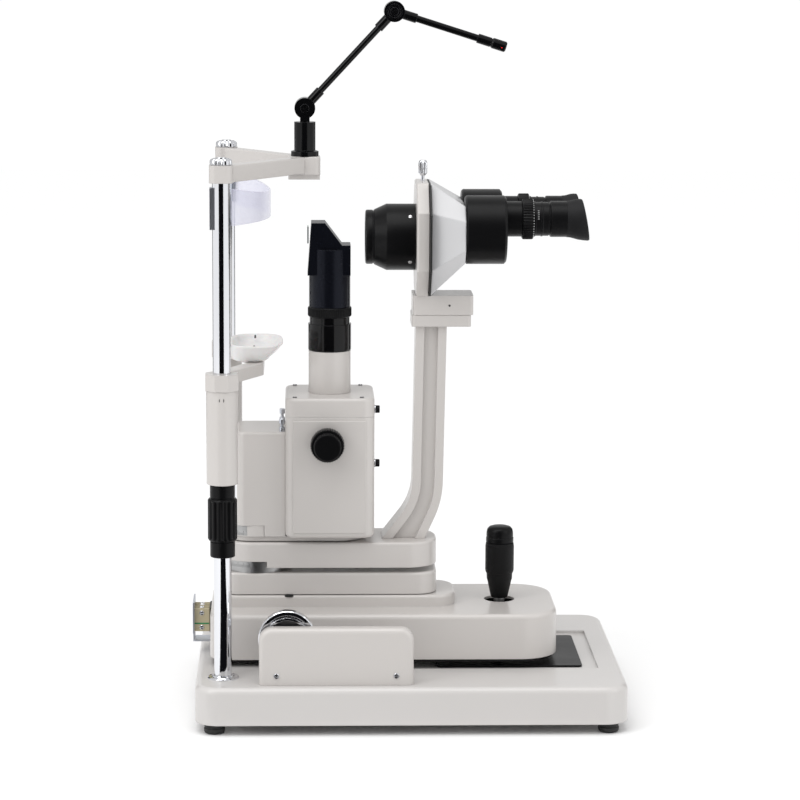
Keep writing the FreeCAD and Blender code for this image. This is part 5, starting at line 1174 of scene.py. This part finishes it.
dress(cream_paint, "lamp_arm", "lamp_bracket", "lamp_housing", "lamp_housing_lid", "tower_tube")
housing_low, housing_high = corners("lamp_housing")
lid_low, lid_high = corners("lamp_housing_lid")
panels = bmesh.new()
for face_y, outward in ((housing_low.y, -1), (housing_high.y, 1)):
    near_y, far_y = sorted((face_y - outward * 0.8 * MM, face_y + outward * 0.7 * MM))
    low = Vector((housing_low.x + 7 * MM, near_y, housing_low.z + 5 * MM))
    high = Vector((housing_high.x - 8 * MM, far_y, housing_high.z - 3 * MM))
    block(panels, low, high)
made(panels, "cover_plates", "illumination", cream_paint, bevel=0.7)

lid_screws = bmesh.new()
for screw_x in (lid_low.x + 9 * MM, lid_high.x - 12 * MM):
    for screw_y in (lid_low.y + 7 * MM, lid_high.y - 7 * MM):
        spot = (screw_x, screw_y, lid_high.z - 0.3 * MM)
        screw_head(lid_screws, pointing((0, 0, 1), spot), 2.0, 1.2, 2)
made(lid_screws, "lid_screws", "illumination", dark_steel)

bulb_screws = bmesh.new()
bulb_caps = bmesh.new()
for screw_z in (lid_low.z + 5.5 * MM, housing_high.z - 46 * MM):
    place = pointing((1, 0, 0), (housing_high.x - 0.2 * MM, housing_low.y + 17 * MM, screw_z))
    spun(bulb_caps, place, [(0, 0), (3.8, 0), (4.1, 0.4), (4.1, 1.2), (2.4, 1.4), (0, 1.4)], 40)
    thumb_head = [(0, 1.2), (3.3, 1.2), (3.6, 1.6, 0.3), (3.6, 4.6, 0.3), (3.1, 5.2), (0, 5.2)]
    spun(bulb_screws, place, thumb_head, 96, 24)
made(bulb_caps, "screw_washers", "illumination", chrome_plate)
made(bulb_screws, "bulb_thumb_screws", "illumination", black_plastic)

bracket_low, bracket_high = corners("lamp_bracket")
hinges = bmesh.new()
for hinge_y in (bracket_low.y + 5 * MM, bracket_high.y - 5 * MM):
    place = Matrix.Translation((bracket_high.x - 3.2 * MM, hinge_y, bracket_high.z - 0.5 * MM))
    hinge_profile = [
        (0, 0), (2.6, 0), (2.6, 4.4), (1.5, 4.8), (1.5, 7.6), (2.6, 8.0), (2.6, 12.0), (1.9, 12.8),
        (0, 13.0),
    ]
    spun(hinges, place, hinge_profile, 36)
made(hinges, "hinge_screws", "illumination", bent_zinc)
lamp_glass = skinned(
    "lamp_glass",
    (0.9, 0.88, 0.8),
    0.05,
    shade=0.9,
    patchiness=0.05,
    grain=300,
    Transmission_Weight=0.6,
)[0]
dress(lamp_glass, "lamp_bulb")


# ---------------------------------------------------------------------------------------------
# Slit knobs: a moulded black knob on each side of the lamp housing, with a finely ribbed skirt
# and a smooth raised face. They share one shaft, which opens the slit.
# ---------------------------------------------------------------------------------------------

knobs_low, knobs_high = corners("slit_knobs")
knobs_mid = centre(knobs_low, knobs_high)
KNOB = (knobs_high.x - knobs_low.x) / 2 / MM
reach = (knobs_high.y - knobs_low.y) / 2 / MM
near = reach - 26
knob_profile = [
    (0, 0), (KNOB - 3.2, 0), (KNOB - 3.0, 2.0), (KNOB - 0.8, 4.6), (KNOB, 5.6, 1.0),
    (KNOB, 15.6, 1.0), (KNOB - 0.8, 16.6, 0.3), (KNOB - 3.4, 17.0), (KNOB - 3.8, 18.0),
    (KNOB - 3.2, 18.8), (KNOB - 3.2, 24.6), (KNOB - 3.9, 25.7), (KNOB - 5.2, 26.0),
    (KNOB - 8.5, 25.7), (0, 25.6),
]
knobs = bmesh.new()
for outward in (-1, 1):
    place = pointing((0, outward, 0), (knobs_mid.x, knobs_mid.y + outward * near * MM, knobs_mid.z))
    spun(knobs, place, knob_profile, 160, 40)
shaft_place = pointing((0, 1, 0), (knobs_mid.x, knobs_mid.y - (near + 1) * MM, knobs_mid.z))
spun(knobs, shaft_place, [(0, 0), (3.0, 0), (3.0, 2 * near + 2), (0, 2 * near + 2)], 24)
made(knobs, "ribbed_knobs", "slit_control", black_plastic, ["slit_knobs"])


# ---------------------------------------------------------------------------------------------
# Slit tower: a painted tube, a glossy black collar, a knurled ring that turns the aperture disc,
# and an anodised mirror head with its sloping hood. The slit's two blades are blackened steel.
# ---------------------------------------------------------------------------------------------

anodised = coated(
    "anodised", colour=(0.0045, 0.005, 0.008), edge_wear_and_highlight=(0.02, 0.021, 0.027), edge_width=0.0008,
    roughness=0.22, relief=0.16, shade=0.8, grain=1500, Specular_IOR_Level=0.2,
    Specular_Tint=(0.75, 0.8, 1, 1),
)
dress(gloss_black, "tower_collar")
dress(anodised, "mirror_head")
blackened = bare_metal("blackened", (0.05, 0.05, 0.055), 0.35, 0.2, 240, (1, 1, 0.1), 0.2)
dress(blackened, "slit_blade_left", "slit_blade_right")
ring_low, ring_high = corners("aperture_ring")
ring_mid = centre(ring_low, ring_high)
RING = (ring_high.x - ring_low.x) / 2 / MM
ring_tall = (ring_high.z - ring_low.z) / MM
aperture_profile = [
    (RING - 2.4, 0), (RING - 0.9, 0), (RING - 0.3, 0.6, 0.2), (RING, 1.4, 0.7),
    (RING, ring_tall - 1.4, 0.7), (RING - 0.3, ring_tall - 0.6, 0.2), (RING - 0.9, ring_tall),
    (RING - 2.4, ring_tall), (RING - 2.4, 0),
]
aperture = bmesh.new()
spun(aperture, Matrix.Translation((ring_mid.x, ring_mid.y, ring_low.z)), aperture_profile, 216, 72)
made(aperture, "knurled_ring", "aperture", black_plastic, ["aperture_ring"])

head_low, head_high = corners("mirror_head")
head_screws = bmesh.new()
for outward in (-1, 1):
    direction = Vector((0.05, outward, 0)).normalized()
    spot = Vector((ring_mid.x, ring_mid.y, head_high.z - 27.2 * MM)) + direction * 15.2 * MM
    screw_head(head_screws, pointing(direction, spot), 1.1, 0.9, 1)
made(head_screws, "head_screws", "illumination", white_zinc)

mirror_pane = bmesh.new()
block(
    mirror_pane,
    Vector((head_low.x - 0.2 * MM, ring_mid.y - 7 * MM, head_high.z - 20 * MM)),
    Vector((head_low.x + 1.0 * MM, ring_mid.y + 7 * MM, head_high.z - 4 * MM)),
)
made(mirror_pane, "mirror_pane", "illumination", coated_glass, bevel=0.3)
